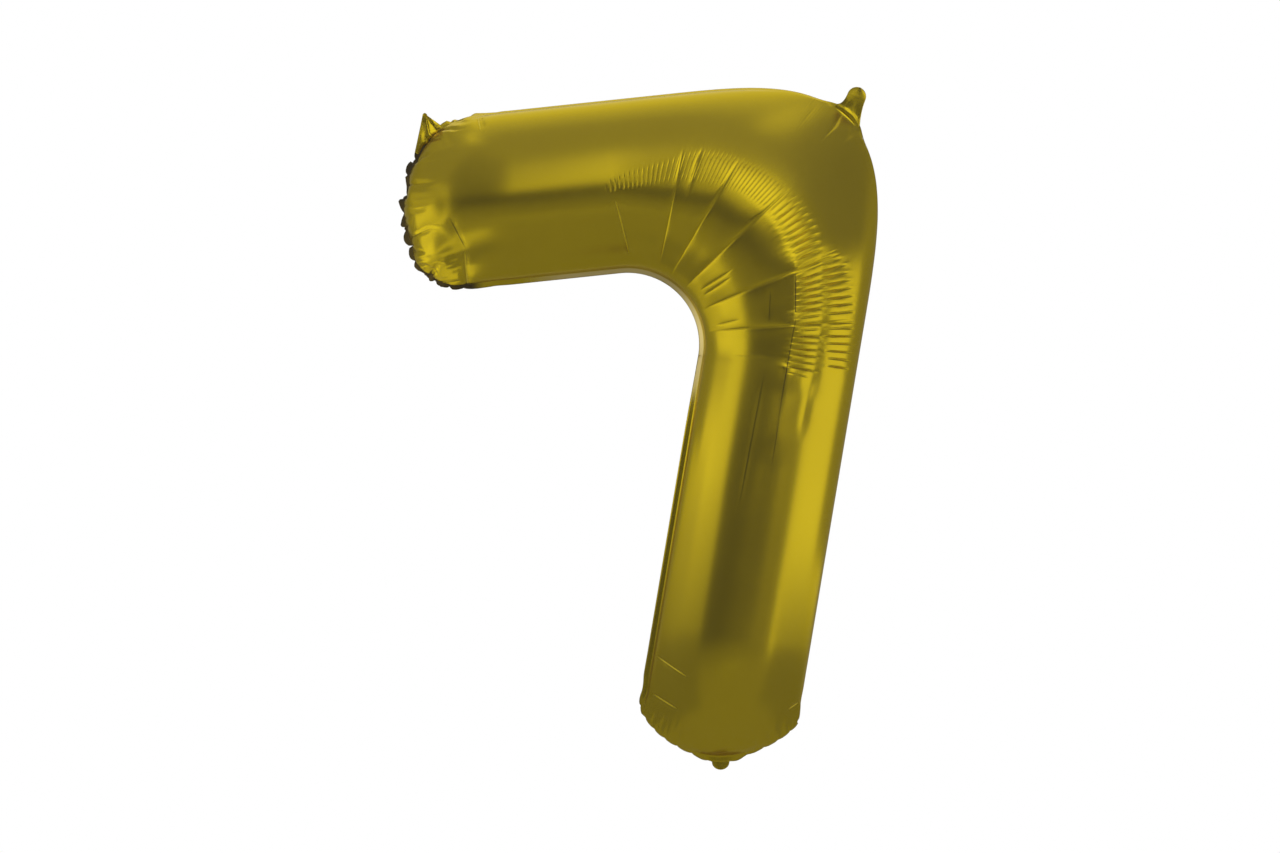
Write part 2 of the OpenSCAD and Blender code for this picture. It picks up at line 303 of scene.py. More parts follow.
def mesh_piece(name: str, points: np.ndarray, quads: np.ndarray, finish: bpy.types.Material,
               wall: float = 0.0, offset: float = -1.0,
               marks: dict[str, np.ndarray] | None = None) -> bpy.types.Object:
    """Put a surface into the scene as a smooth-shaded piece.

    Args:
        name: Name of the piece.
        points: Vertices, in metres.
        quads: Vertex numbers of the faces, four to a row.
        finish: Material of the piece.
        wall: Thickness of its wall, or 0 for none.
        offset: Where the wall grows: -1 for inwards, 0 for both ways.
        marks: Attributes for the material, each with a value for every vertex.

    Returns:
        The new object, at the origin.
    """
    mesh = bpy.data.meshes.new(name)
    mesh.vertices.add(points.size // 3)
    mesh.vertices.foreach_set("co", np.asarray(points, np.float32).ravel())
    mesh.loops.add(quads.size)
    mesh.loops.foreach_set("vertex_index", quads.astype(np.int32).ravel())
    mesh.polygons.add(len(quads))
    mesh.polygons.foreach_set("loop_start", np.arange(0, quads.size, 4, dtype=np.int32))
    mesh.update(calc_edges=True)
    mesh.validate()
    mesh.polygons.foreach_set("use_smooth", np.ones(len(mesh.polygons), bool))
    mesh.materials.append(finish)
    for mark, values in (marks or {}).items():
        data = mesh.attributes.new(mark, "FLOAT", "POINT").data
        data.foreach_set("value", np.asarray(values, np.float32))
    piece = bpy.data.objects.new(name, mesh)
    bpy.context.scene.collection.objects.link(piece)
    if wall:
        solid = piece.modifiers.new("wall", "SOLIDIFY")
        solid.thickness = wall
        solid.offset = offset
    LOG.info("%s: %d points", name, points.size // 3)
    return piece


def numbered(grid: np.ndarray) -> np.ndarray:
    """Vertex numbers of a grid of points."""
    return np.arange(grid.shape[0] * grid.shape[1]).reshape(grid.shape[:2])


def grid_quads(numbers: np.ndarray) -> np.ndarray:
    """Faces of a grid of vertex numbers, turning from its first axis to its second."""
    corners = [numbers[:-1, :-1], numbers[1:, :-1], numbers[1:, 1:], numbers[:-1, 1:]]
    return np.stack(corners, -1).reshape(-1, 4)


def closed(ring: np.ndarray) -> np.ndarray:
    """Repeat the first column of a grid of vertex numbers after the last, to close it to a ring."""
    return np.concatenate([ring, ring[:, :1]], 1)


def round_edge(grid: np.ndarray) -> np.ndarray:
    """Walk round a grid's edge: inner side, foot, outer side, arm end."""
    return np.concatenate([grid[:-1, 0], grid[-1, :-1], grid[:0:-1, -1], grid[0, :0:-1]])


@dataclass
class Ribs:
    """The ribs that cross the figure from its inner seam to its outer one, one entry to a rib.

    Attributes:
        inner: Rib ends on the inner seam, in the seam's plane.
        outer: Rib ends on the outer seam.
        bulge: How far a rounded end carries the rib's middle outwards.
        power: Squareness of that rounded end.
        half_depth: Height of the rib's crown off the seam's plane.
        crown: Place of the crown, as a share of the rib from the inner seam.
        corner: How far the rib's outer half is a straight-sided pocket, not a round one, from 0 to 1.
        closing: 1 on the seam of a rounded end, falling to 0 where the figure is at full depth.
        run: Distance along the figure's middle from the start of the bend.
    """

    inner: np.ndarray
    outer: np.ndarray
    bulge: np.ndarray
    power: np.ndarray
    half_depth: np.ndarray
    crown: np.ndarray
    corner: np.ndarray
    closing: np.ndarray
    run: np.ndarray


@dataclass(frozen=True)
class Figure:
    """Outline and inflated depth of the seven, as the frame's panels have them, in metres and degrees."""

    crook_r: float = 97 * MM
    arm_w: float = 210 * MM
    stem_w: float = 194 * MM
    arm_reach: float = 260 * MM
    stem_drop: float = 495 * MM
    arm_slope: float = 6.0
    stem_lean: float = 9.5
    corner_power: float = 3.2
    arm_round: float = 75 * MM
    arm_end_power: float = 1.05
    arm_end_rake: float = 27 * MM
    foot_round: float = 50 * MM
    foot_end_power: float = 1.6
    foot_end_rake: float = 19 * MM
    arm_depth: float = 186 * MM
    bend_depth: float = 212 * MM
    stem_depth: float = 184 * MM
    arm_swell_len: float = 66 * MM
    foot_swell_len: float = 110 * MM
    end_puff: float = 21 * MM
    crown_out: float = 30 * MM
    tail_off: float = 8 * MM
    seam_w: float = 8 * MM
    crease_gap: float = 0.3 * MM

    @staticmethod
    def heading(degrees: np.ndarray | float) -> np.ndarray:
        """Unit vectors at angles from level."""
        a = np.radians(degrees)
        return np.stack([np.cos(a), np.sin(a)], -1)

    @property
    def arm_angle(self) -> float:
        """Direction from the bend's centre square to the arm."""
        return 90.0 + self.arm_slope

    @property
    def stem_angle(self) -> float:
        """Direction from the bend's centre square to the stem."""
        return -self.stem_lean

    @property
    def along_arm(self) -> np.ndarray:
        """Direction along the arm, towards the bend."""
        return self.heading(self.arm_slope)

    @property
    def up_stem(self) -> np.ndarray:
        """Direction up the stem."""
        return self.heading(90.0 - self.stem_lean)

    def centre(self) -> np.ndarray:
        """Find the bend's centre in the frame.

        The tail's hinge lies half the crease outside the foot's seam, so the outline of the foot and
        the stem's own sizes lead back from it to the bend.

        Returns:
            The point, in the seam's plane.
        """
        hinge, out = joint_place("tail_fold"), joint_outward("tail_fold")
        seam = (hinge - (self.seam_w + self.crease_gap / 2) * out)[PLAN_AXES]
        aside = self.tail_off / self.stem_w
        round_share = (1 - (2 * aside) ** 2) ** (0.5 * self.foot_end_power)
        drop = self.stem_drop - self.foot_round * (1 - round_share) - self.foot_end_rake * aside
        reach = self.crook_r + self.stem_w / 2 + self.tail_off
        bend = seam + drop * self.up_stem - reach * self.heading(self.stem_angle)
        return np.array([bend[0], hinge[1], bend[1]])

    def plan(self, points: np.ndarray) -> np.ndarray:
        """Places of points right of and above the bend's centre, in metres."""
        return (points - self.centre())[..., PLAN_AXES]

    def outer_reach(self, degrees: np.ndarray) -> np.ndarray:
        """Distance from the bend's centre to the outer seam, two straight edges blended by a power mean."""
        top = np.maximum(0, np.cos(np.radians(degrees - self.arm_angle))) / (self.crook_r + self.arm_w)
        side = np.maximum(0, np.cos(np.radians(degrees - self.stem_angle))) / (self.crook_r + self.stem_w)
        return (top ** self.corner_power + side ** self.corner_power) ** (-1 / self.corner_power)

    def ribs(self, counts: tuple[int, int, int, int, int]) -> Ribs:
        """Lay the ribs from the arm's free end, round the bend and down to the foot.

        Args:
            counts: Steps round the arm's end, along the arm, round the bend, down the stem and
                round the foot.

        Returns:
            The ribs, one more than the steps.
        """
        tip, arm, bend, stem, foot = counts
        arm_dir, stem_dir = self.along_arm, self.up_stem
        arm_out, stem_out = self.heading(self.arm_angle), self.heading(self.stem_angle)
        straight_arm = self.arm_reach - self.arm_round - self.arm_swell_len
        straight_stem = self.stem_drop - self.foot_round - self.foot_swell_len
        k_tip, k_arm = np.arange(tip) / tip, np.arange(arm) / arm
        k_bend = np.arange(bend) / bend
        k_stem, k_foot = np.arange(stem) / stem, np.arange(foot + 1) / foot

        x_arm = np.concatenate([straight_arm + self.arm_swell_len * (1 - k_tip), straight_arm * (1 - k_arm)])
        x_stem = np.concatenate([straight_stem * k_stem, straight_stem + self.foot_swell_len * k_foot])
        swell = np.radians(np.concatenate([90 * k_tip, np.full(arm + bend + stem, 90.0), 90 * (1 - k_foot)]))
        shut = np.where(np.cos(swell) < TINY, 0.0, np.cos(swell))
        turn = self.arm_angle + (self.stem_angle - self.arm_angle) * k_bend
        rake_arm = 0.5 * self.arm_end_rake * shut[:tip + arm]
        rake_stem = 0.5 * self.foot_end_rake * shut[tip + arm + bend:]

        inner, outer = (
            np.concatenate([arm_r * arm_out - (x_arm + rake * rake_arm)[:, None] * arm_dir,
                            bend_r * self.heading(turn),
                            stem_r * stem_out - (x_stem + rake * rake_stem)[:, None] * stem_dir])
            for rake, arm_r, bend_r, stem_r in (
                (1, self.crook_r, self.crook_r, self.crook_r),
                (-1, self.crook_r + self.arm_w, self.outer_reach(turn)[:, None], self.crook_r + self.stem_w)))
        on_arm = np.arange(len(swell)) < tip + arm
        puff = self.end_puff * np.sin(2 * swell) * (shut > 0)
        bulge = np.where(on_arm[:, None], -(self.arm_round * shut + puff)[:, None] * arm_dir,
                         -(self.foot_round * shut + puff)[:, None] * stem_dir)
        straight = self.arm_depth + (self.stem_depth - self.arm_depth) * k_bend
        depth = np.concatenate([np.full(tip + arm, self.arm_depth),
                                straight + (self.bend_depth - straight) * np.sin(np.pi * k_bend) ** 2,
                                np.full(stem + foot + 1, self.stem_depth)])
        bend_run = np.radians(self.arm_angle - self.stem_angle) * (self.crook_r + self.arm_w / 2)
        tube = self.arm_w + (self.stem_w - self.arm_w) * k_bend
        span = self.outer_reach(turn) - self.crook_r
        pocket = smooth_step(0.0, (span - tube).max(), span - tube)
        corner, crown = np.zeros(len(swell)), np.full(len(swell), 0.5)
        corner[tip + arm:tip + arm + bend] = pocket
        crown[tip + arm:tip + arm + bend] = (tube / 2 + self.crown_out * pocket) / span
        return Ribs(inner, outer, bulge, np.where(on_arm, self.arm_end_power, self.foot_end_power),
                    depth / 2 * np.sin(swell), crown, corner, shut,
                    np.concatenate([-x_arm, bend_run * k_bend, bend_run + x_stem]))

    def film(self, ribs: Ribs, phi: np.ndarray, side: Side) -> np.ndarray:
        """Work out one panel's smooth inflated surface.

        phi runs round a rib from the inner seam to the outer one. A straight rib is half an ellipse, with
        sin phi as its height. Round the bend the crown keeps near the tube's middle, and the outer half
        passes from a quarter ellipse to a pocket that falls almost straight to the seam: at a share a
        of its way out its height is (1 - a ^ p) ^ (1 / q), where p and q drop from 2 to 1.7 and to 1.

        Args:
            ribs: The ribs.
            phi: Angles round a rib, from 0 to pi.
            side: Which panel.

        Returns:
            Points by rib and angle, in the frame.
        """
        crown, corner = ribs.crown[:, None], ribs.corner[:, None]
        out = np.clip((1 - corner) * -np.cos(phi) + corner * (2 * phi / np.pi - 1), 0, 1)
        share = np.where(phi < np.pi / 2, crown * (1 - np.cos(phi)), crown + (1 - crown) * out)
        lift = np.where(phi < np.pi / 2, np.sin(phi), (1 - out ** (2 - 0.3 * corner)) ** (1 / (2 - corner)))
        plan = ribs.inner[:, None] + (ribs.outer - ribs.inner)[:, None] * share[..., None]
        plan = plan + ribs.bulge[:, None] * (np.sin(phi).clip(0) ** ribs.power[:, None])[..., None]
        height = side.value * ribs.half_depth[:, None] * lift
        return np.stack([plan[..., 0], height, plan[..., 1]], -1) + self.centre()


@dataclass(frozen=True)
class Crease:
    """One sharp fold in a panel, as a straight line seen from the front.

    Attributes:
        start: One end, in millimetres right of and above the bend's centre.
        end: The other end.
        depth: Depth of the valley in millimetres, or below 0 the rise of a ridge.
        width: Distance at which it has closed by two thirds, in millimetres.
        lee: Width on the far side, to the left from start to end, as a multiple of width.
        blunt: Half width over which its bottom is rounded, in millimetres.
        shade: How dark the painted shade along its bottom is, from 0 to 1, or below 0 how its edge glints.
        fade_in: Shares of the line between which the fold sets in.
        fade_out: Shares of the line between which it dies out.
    """

    start: tuple[float, float]
    end: tuple[float, float]
    depth: float
    width: float
    lee: float = 1.0
    blunt: float = 0.0
    shade: float = 0.0
    fade_in: Span = (-0.05, 0.25)
    fade_out: Span = (0.7, 1.05)

    def place(self, plan: np.ndarray) -> tuple[np.ndarray, np.ndarray]:
        """Find where points lie from the line.

        Args:
            plan: Points right of and above the bend's centre, in metres.

        Returns:
            How much of the fold is left there, from 0 past its ends to 1, and the distance to its right
            in metres.
        """
        start, end = np.array(self.start) * MM, np.array(self.end) * MM
        span = float(np.linalg.norm(end - start))
        ahead = (end - start) / span
        gone = plan - start
        along = gone @ ahead / span
        aside = gone[..., 0] * ahead[1] - gone[..., 1] * ahead[0]
        return smooth_step(*self.fade_in, along) * (1 - smooth_step(*self.fade_out, along)), aside

    def height(self, plan: np.ndarray) -> np.ndarray:
        """Work out the valley's height.

        Across the line it is a cusp, -exp(-distance / width), whose bottom may be rounded, and it fades
        at both ends.

        Args:
            plan: Points right of and above the bend's centre, in metres.

        Returns:
            Height off the panel at each point, in metres.
        """
        fade, aside = self.place(plan)
        aside = np.where(aside < 0, -aside / self.lee, aside)
        aside = np.hypot(aside, self.blunt * MM) - self.blunt * MM
        return -self.depth * MM * fade * np.exp(-aside / (self.width * MM))


@dataclass(frozen=True)
class Pillow:
    """One smooth lobe that film stands out in between two creases.

    Attributes:
        middle: Its middle, in millimetres right of and above the bend's centre.
        reach: Its half width and half height, in millimetres.
        rise: How far it stands out, in millimetres.
    """

    middle: tuple[float, float]
    reach: tuple[float, float]
    rise: float

    def height(self, plan: np.ndarray) -> np.ndarray:
        """Height at points from the bend's centre: (1 - r ^ 2) ^ 2, where r is 1 on the lobe's rim."""
        r = (plan - np.array(self.middle) * MM) / (np.array(self.reach) * MM)
        return self.rise * MM * np.clip(1 - (r ** 2).sum(-1), 0, None) ** 2


def creases(depth: float, width: float, *lines: tuple, **more: float) -> tuple[Crease, ...]:
    """Make creases of one depth and width, one along each line."""
    return tuple(Crease(*line, depth, width, **more) for line in lines)


# The long creases of the bend, from the inner seam outwards, in millimetres from the bend's centre.
FRONT_GORES = (
    ((97, -32), (275, -52)), ((108, 15), (289, 26)), ((98, 44), (266, 111)), ((76, 73), (198, 188)),
    ((62, 98), (136, 222)), ((41, 103), (69, 239)), ((2, 112), (-14, 200)), ((-30, 98), (-52, 240)))
BACK_GORES = (
    ((97, -24), (270, -44)), ((105, 24), (285, 46)), ((92, 52), (250, 138)), ((70, 80), (176, 206)),
    ((50, 97), (104, 232)), ((22, 103), (38, 240)), ((-10, 108), (-28, 200)), ((-42, 98), (-66, 240)))
# A crease's shade above 0 paints shade along its bottom, and below 0 makes its edge matt.
FRONT_CREASES = (
    # Bend: the long creases, shorter ones between them and those that start at the crook.
    *creases(0.8, 1.4, *FRONT_GORES[1:6]),
    *creases(0.7, 1.4, ((72, 175), (92, 239))),
    *creases(0.8, 2.4, ((2, 112), (-14, 173)), shade=-0.5),
    *creases(0.9, 1.6, ((93, 67), (128, 88)), ((97, 60), (128, 80))),
    *creases(0.7, 1.8, ((110, 22), (140, 28))),
    *creases(0.8, 2.0, ((176, 66), (175, 25)), shade=0.7),
    # Stem: the ridge below the bend, the sharp folds on it and the hollows on both sides of it.
    *creases(-3.2, 16.0, ((206, 120), (207, 0)), ((207, 40), (193, -60)), lee=0.7),
    *creases(-2.4, 16.0, ((197, -26), (178, -150)), lee=0.7),
    *creases(0.9, 2.0, ((207, 90), (207, 14)), ((208, 34), (186, -94)), shade=0.9),
    *creases(0.4, 1.4, ((193, -56), (177, -160)), shade=0.7),
    *creases(3.0, 10.0, ((242, 118), (240, 0)), ((241, 30), (226, -70)), blunt=6.0),
    *creases(1.4, 6.0, ((230, -36), (213, -120)), blunt=2.0),
    *creases(1.5, 5.0, ((169, -38), (136, -212)), shade=0.7),
    *creases(0.3, 2.0, ((130, -15), (180, -18))),
    # Foot.
    *creases(1.5, 1.6, ((38, -393), (73, -414)), shade=-0.9),
    *creases(1.5, 1.6, ((33, -441), (61, -456)), ((202, -459), (215, -452)), shade=-0.8),
    # Arm's end: the folds between its lobes, and the fine ones that run in from the seam.
    *creases(1.4, 2.0, ((-274, 200), (-246, 198))),
    *creases(1.4, 2.2, ((-272, 133), (-242, 143)), shade=0.5),
    *creases(1.4, 2.2, ((-250, 86), (-230, 109))),
    *creases(1.6, 2.0, ((-202, 113), (-202, 68)), shade=-0.6),
    *creases(2.0, 2.6, ((-220, 154), (-201, 117)), shade=0.8),
    *creases(0.5, 1.4, ((-270, 193), (-248, 192))),
    *creases(0.6, 1.4, ((-270, 182), (-246, 180)), ((-270, 172), (-246, 175))),
    *creases(0.4, 1.4, ((-268, 164), (-248, 168))),
    *creases(0.7, 1.3, ((-236, 104), (-238, 82)), ((-229, 108), (-231, 82)), ((-222, 110), (-223, 82)),
             ((-215, 112), (-216, 82)), ((-209, 113), (-209, 80))),
    # Roots of the two tabs.
    *creases(0.7, 2.0, ((-238, 262), (-226, 240)), ((-229, 264), (-218, 244))),
    *creases(0.9, 1.6, ((-188, 285), (-183, 266)), shade=-0.6),
    *creases(0.9, 1.6, ((-183, 286), (-179, 266))),
    *creases(1.0, 2.0, ((270, 292), (258, 268)), ((286, 286), (280, 256))),
    *creases(0.8, 2.0, ((298, 276), (300, 244))),
)
BACK_CREASES = (
    # Bend.
    *creases(1.3, 3.0, BACK_GORES[1]),
    *creases(1.5, 3.0, *BACK_GORES[2:4]),
    *creases(1.3, 3.0, BACK_GORES[4]),
    *creases(1.1, 3.0, BACK_GORES[5]),
    *creases(0.8, 2.4, ((-10, 108), (-28, 176))),
    *creases(0.9, 1.6, ((88, 72), (122, 94))),
    # Stem and foot.
    *creases(0.8, 1.8, ((212, 60), (206, -40))),
    *creases(0.8, 2.6, ((160, -70), (131, -230))),
    *creases(0.8, 2.4, ((206, -40), (184, -160))),
    *creases(0.9, 2.0, ((40, -420), (70, -432)), ((198, -440), (214, -436))),
    # Arm's end.
    *creases(1.0, 1.6, ((-268, 176), (-242, 178)), ((-262, 236), (-240, 228))),
    *creases(0.5, 1.4, ((-266, 190), (-244, 191))),
    *creases(0.7, 1.3, ((-228, 116), (-220, 94)), ((-220, 118), (-213, 94))),
    *creases(0.8, 1.3, ((-212, 119), (-206, 92))),
    *creases(1.5, 2.2, ((-216, 200), (-196, 178))),
    # Roots of the two tabs.
    *creases(0.7, 1.6, ((-182, 284), (-174, 264))),
    *creases(1.0, 2.0, ((274, 290), (262, 262)), ((292, 280), (290, 250))),
)
FRONT_PILLOWS = (Pillow((-262, 168), (38, 38), 2.6), Pillow((-250, 106), (36, 40), 5.0),
                 Pillow((-222, 84), (26, 34), 3.0))
BACK_PILLOWS = (Pillow((-254, 210), (30, 30), 3.0), Pillow((-252, 154), (28, 30), 4.0),
                Pillow((-238, 108), (26, 26), 4.0))
# All of them by panel, the front first.
GORES = (FRONT_GORES, BACK_GORES)
CREASES = (FRONT_CREASES, BACK_CREASES)
PILLOWS = (FRONT_PILLOWS, BACK_PILLOWS)


@dataclass(frozen=True)
class SpareFilm:
    """Where the flat film is longer than the smooth inflated shape needs, and the folds that take it up.

    Attributes:
        tip_spare: Spare length of the arm's end seam, as a share.
        foot_spare: Spare length of the foot's seam.
        ladder_spare: Spare length along the bands of small wrinkles round the bend.
        corner_spare: Spare length along the outer seam of the bend.
        pucker_mm: Spacing of the puckers along an end seam.
        gore_mm: How far the film between each two long creases of the bend stands proud.
        gore_in: Angles round a rib between which the gores rise, in radians.
        gore_out: Angles between which they die out.
        corner_in: Angles between which the spare length of the bend's outer seam sets in.
        end_in: Angle from a side seam over which the spare length of the two ends sets in.
        end_power: How closely that keeps to the very end.
        crease_clear: Share of a gore's height below which its small wrinkles die out.
        back_turn: How far the back panel's wrinkles are turned from the front's, in degrees.
        samples: Number of angles at which wrinkles are counted.
        ladders: Bands of small wrinkles, each by angle in degrees, radius, half width and spacing in
            millimetres, and the share of the spare film there: with little of it only a fine line is left
            of a wrinkle. The first band runs all the way round and gives the spacing.
    """

    tip_spare: float = 0.10
    foot_spare: float = 0.03
    ladder_spare: float = 0.11
    corner_spare: float = 0.02
    pucker_mm: float = 20.0
    gore_mm: tuple[float, ...] = (0.2, 0.6, 1.8, 0.8, 0.6, 0.6, 0.3)
    gore_in: Span = (0.15, 0.6)
    gore_out: Span = (1.1, 1.7)
    corner_in: Span = (2.4, 3.0)
    end_in: float = 0.6
    end_power: int = 6
    crease_clear: float = 0.3
    back_turn: float = 4.0
    samples: int = 400
    ladders: tuple[tuple[tuple[float, ...], ...], ...] = (
        ((-14.0, 214.0, 8.0, 8.5, 1.0), (-8.0, 216.0, 15.0, 8.0, 1.0), (0.0, 219.0, 15.0, 8.0, 1.0),
         (9.0, 227.0, 15.0, 8.0, 1.0), (17.0, 236.0, 16.0, 8.0, 1.0), (26.0, 246.0, 17.0, 8.6, 1.0),
         (32.0, 253.0, 17.0, 8.6, 1.0), (40.0, 254.0, 17.0, 8.0, 0.8), (46.0, 253.0, 17.0, 5.0, 0.1),
         (53.0, 250.0, 17.0, 4.8, 0.08), (64.0, 240.0, 17.0, 4.8, 0.08), (71.0, 230.0, 15.0, 5.2, 0.1),
         (78.0, 214.0, 10.0, 5.6, 0.12), (84.0, 204.0, 9.0, 5.6, 0.15), (92.0, 196.0, 8.0, 5.6, 0.15),
         (98.0, 192.0, 5.0, 5.6, 0.15)),
        ((-8.0, 264.0, 10.0, 8.0, 1.0), (0.0, 264.0, 16.0, 8.0, 1.0), (15.0, 267.0, 17.0, 8.0, 1.0),
         (24.0, 270.0, 10.0, 8.0, 1.0)),
    )

    @staticmethod
    def between(plan: np.ndarray, panel: int) -> tuple[np.ndarray, np.ndarray]:
        """Find how far each point lies on its way from one long crease of the bend to the next.

        Args:
            plan: Points right of and above the bend's centre, in metres.
            panel: 0 for the front, 1 for the back.

        Returns:
            A share that runs from 0 on one crease to 1 on the next, and 0 beyond the first and last,
            and the number of the gore.
        """
        lines = np.array(GORES[panel]) * MM
        ahead = unit(lines[:, 1] - lines[:, 0])
        gone = plan[..., None, :] - lines[:, 0]
        past = ahead[:, 0] * gone[..., 1] - ahead[:, 1] * gone[..., 0]
        count = (past > 0).sum(-1)
        k = np.clip(count - 1, 0, len(lines) - 2)
        low = np.take_along_axis(past, k[..., None], -1)[..., 0]
        high = -np.take_along_axis(past, k[..., None] + 1, -1)[..., 0]
        inside = (count > 0) & (count < len(lines))
        return np.where(inside, np.clip(low / np.maximum(low + high, TINY), 0, 1), 0.0), k

    def gores(self, phi: np.ndarray, plan: np.ndarray, panel: int) -> np.ndarray:
        """Height of the gores between the bend's long creases.

        Between two creases the film rises as a parabola, so that it meets the next gore in a valley.
        The gores start at the inner seam and die out past the crown.

        Args:
            phi: Angles round a rib.
            plan: Points right of and above the bend's centre, in metres.
            panel: 0 for the front, 1 for the back.

        Returns:
            Heights by rib and angle, in metres.
        """
        u, gore = self.between(plan, panel)
        reach = smooth_step(*self.gore_in, phi) * (1 - smooth_step(*self.gore_out, phi))
        return np.array(self.gore_mm)[gore] * MM * (4 * u * (1 - u)) * reach[None, :]

    def ladder(self, plan: np.ndarray, panel: int) -> tuple[np.ndarray, np.ndarray, np.ndarray]:
        """Lay out the small wrinkles of the bend.

        Each band follows a radius that changes slowly round the bend, breaks off at every long crease and
        shares its spacing with the others at the same angle. Across it the strength is exp(-r ^ 4), where
        r is 1 at the half width.

        Args:
            plan: Points right of and above the bend's centre, in metres.
            panel: 0 for the front, 1 for the back.

        Returns:
            Strength from 0 to 1, the number of the wrinkle and the share of spare film, by rib and angle.
        """
        turn = np.degrees(np.arctan2(plan[..., 1], plan[..., 0])) - self.back_turn * panel
        radius = np.linalg.norm(plan, axis=-1)
        strength = np.zeros_like(radius)
        for rows in self.ladders:
            turns, radii, halves, _, _ = np.array(rows).T
            middle = np.interp(turn, turns, radii, 0, 0) * MM
            half = np.interp(turn, turns, halves, 1, 1) * MM
            strength = np.maximum(strength, np.exp(-((radius - middle) / half) ** 4))
        turns, radii, _, spacings, shares = np.array(self.ladders[0]).T
        fine = np.linspace(turns[0], turns[-1], self.samples)
        count = np.cumsum(np.interp(fine, turns, radii / spacings)) * np.radians(fine[1] - fine[0])
        u, _ = self.between(plan, panel)
        strength *= smooth_step(0.0, self.crease_clear, 4 * u * (1 - u))
        return strength, np.interp(turn, fine, count), strength * np.interp(turn, turns, shares)

    def along(self, ribs: Ribs, phi: np.ndarray, ladder: np.ndarray) -> np.ndarray:
        """Spare length along the figure, by rib and angle: the ladders and the bend's outer seam."""
        corner = smooth_step(*self.corner_in, phi)[None, :] * ribs.corner[:, None]
        return self.ladder_spare * ladder + self.corner_spare * corner

    def across(self, ribs: Ribs, phi: np.ndarray) -> np.ndarray:
        """Spare length across the figure, by rib and angle: greatest on the seams of the two ends."""
        spare = np.where(ribs.run < 0, self.tip_spare, self.foot_spare) * ribs.closing ** self.end_power
        inside = smooth_step(0.0, self.end_in, phi) * smooth_step(0.0, self.end_in, np.pi - phi)
        return spare[:, None] * inside[None, :]


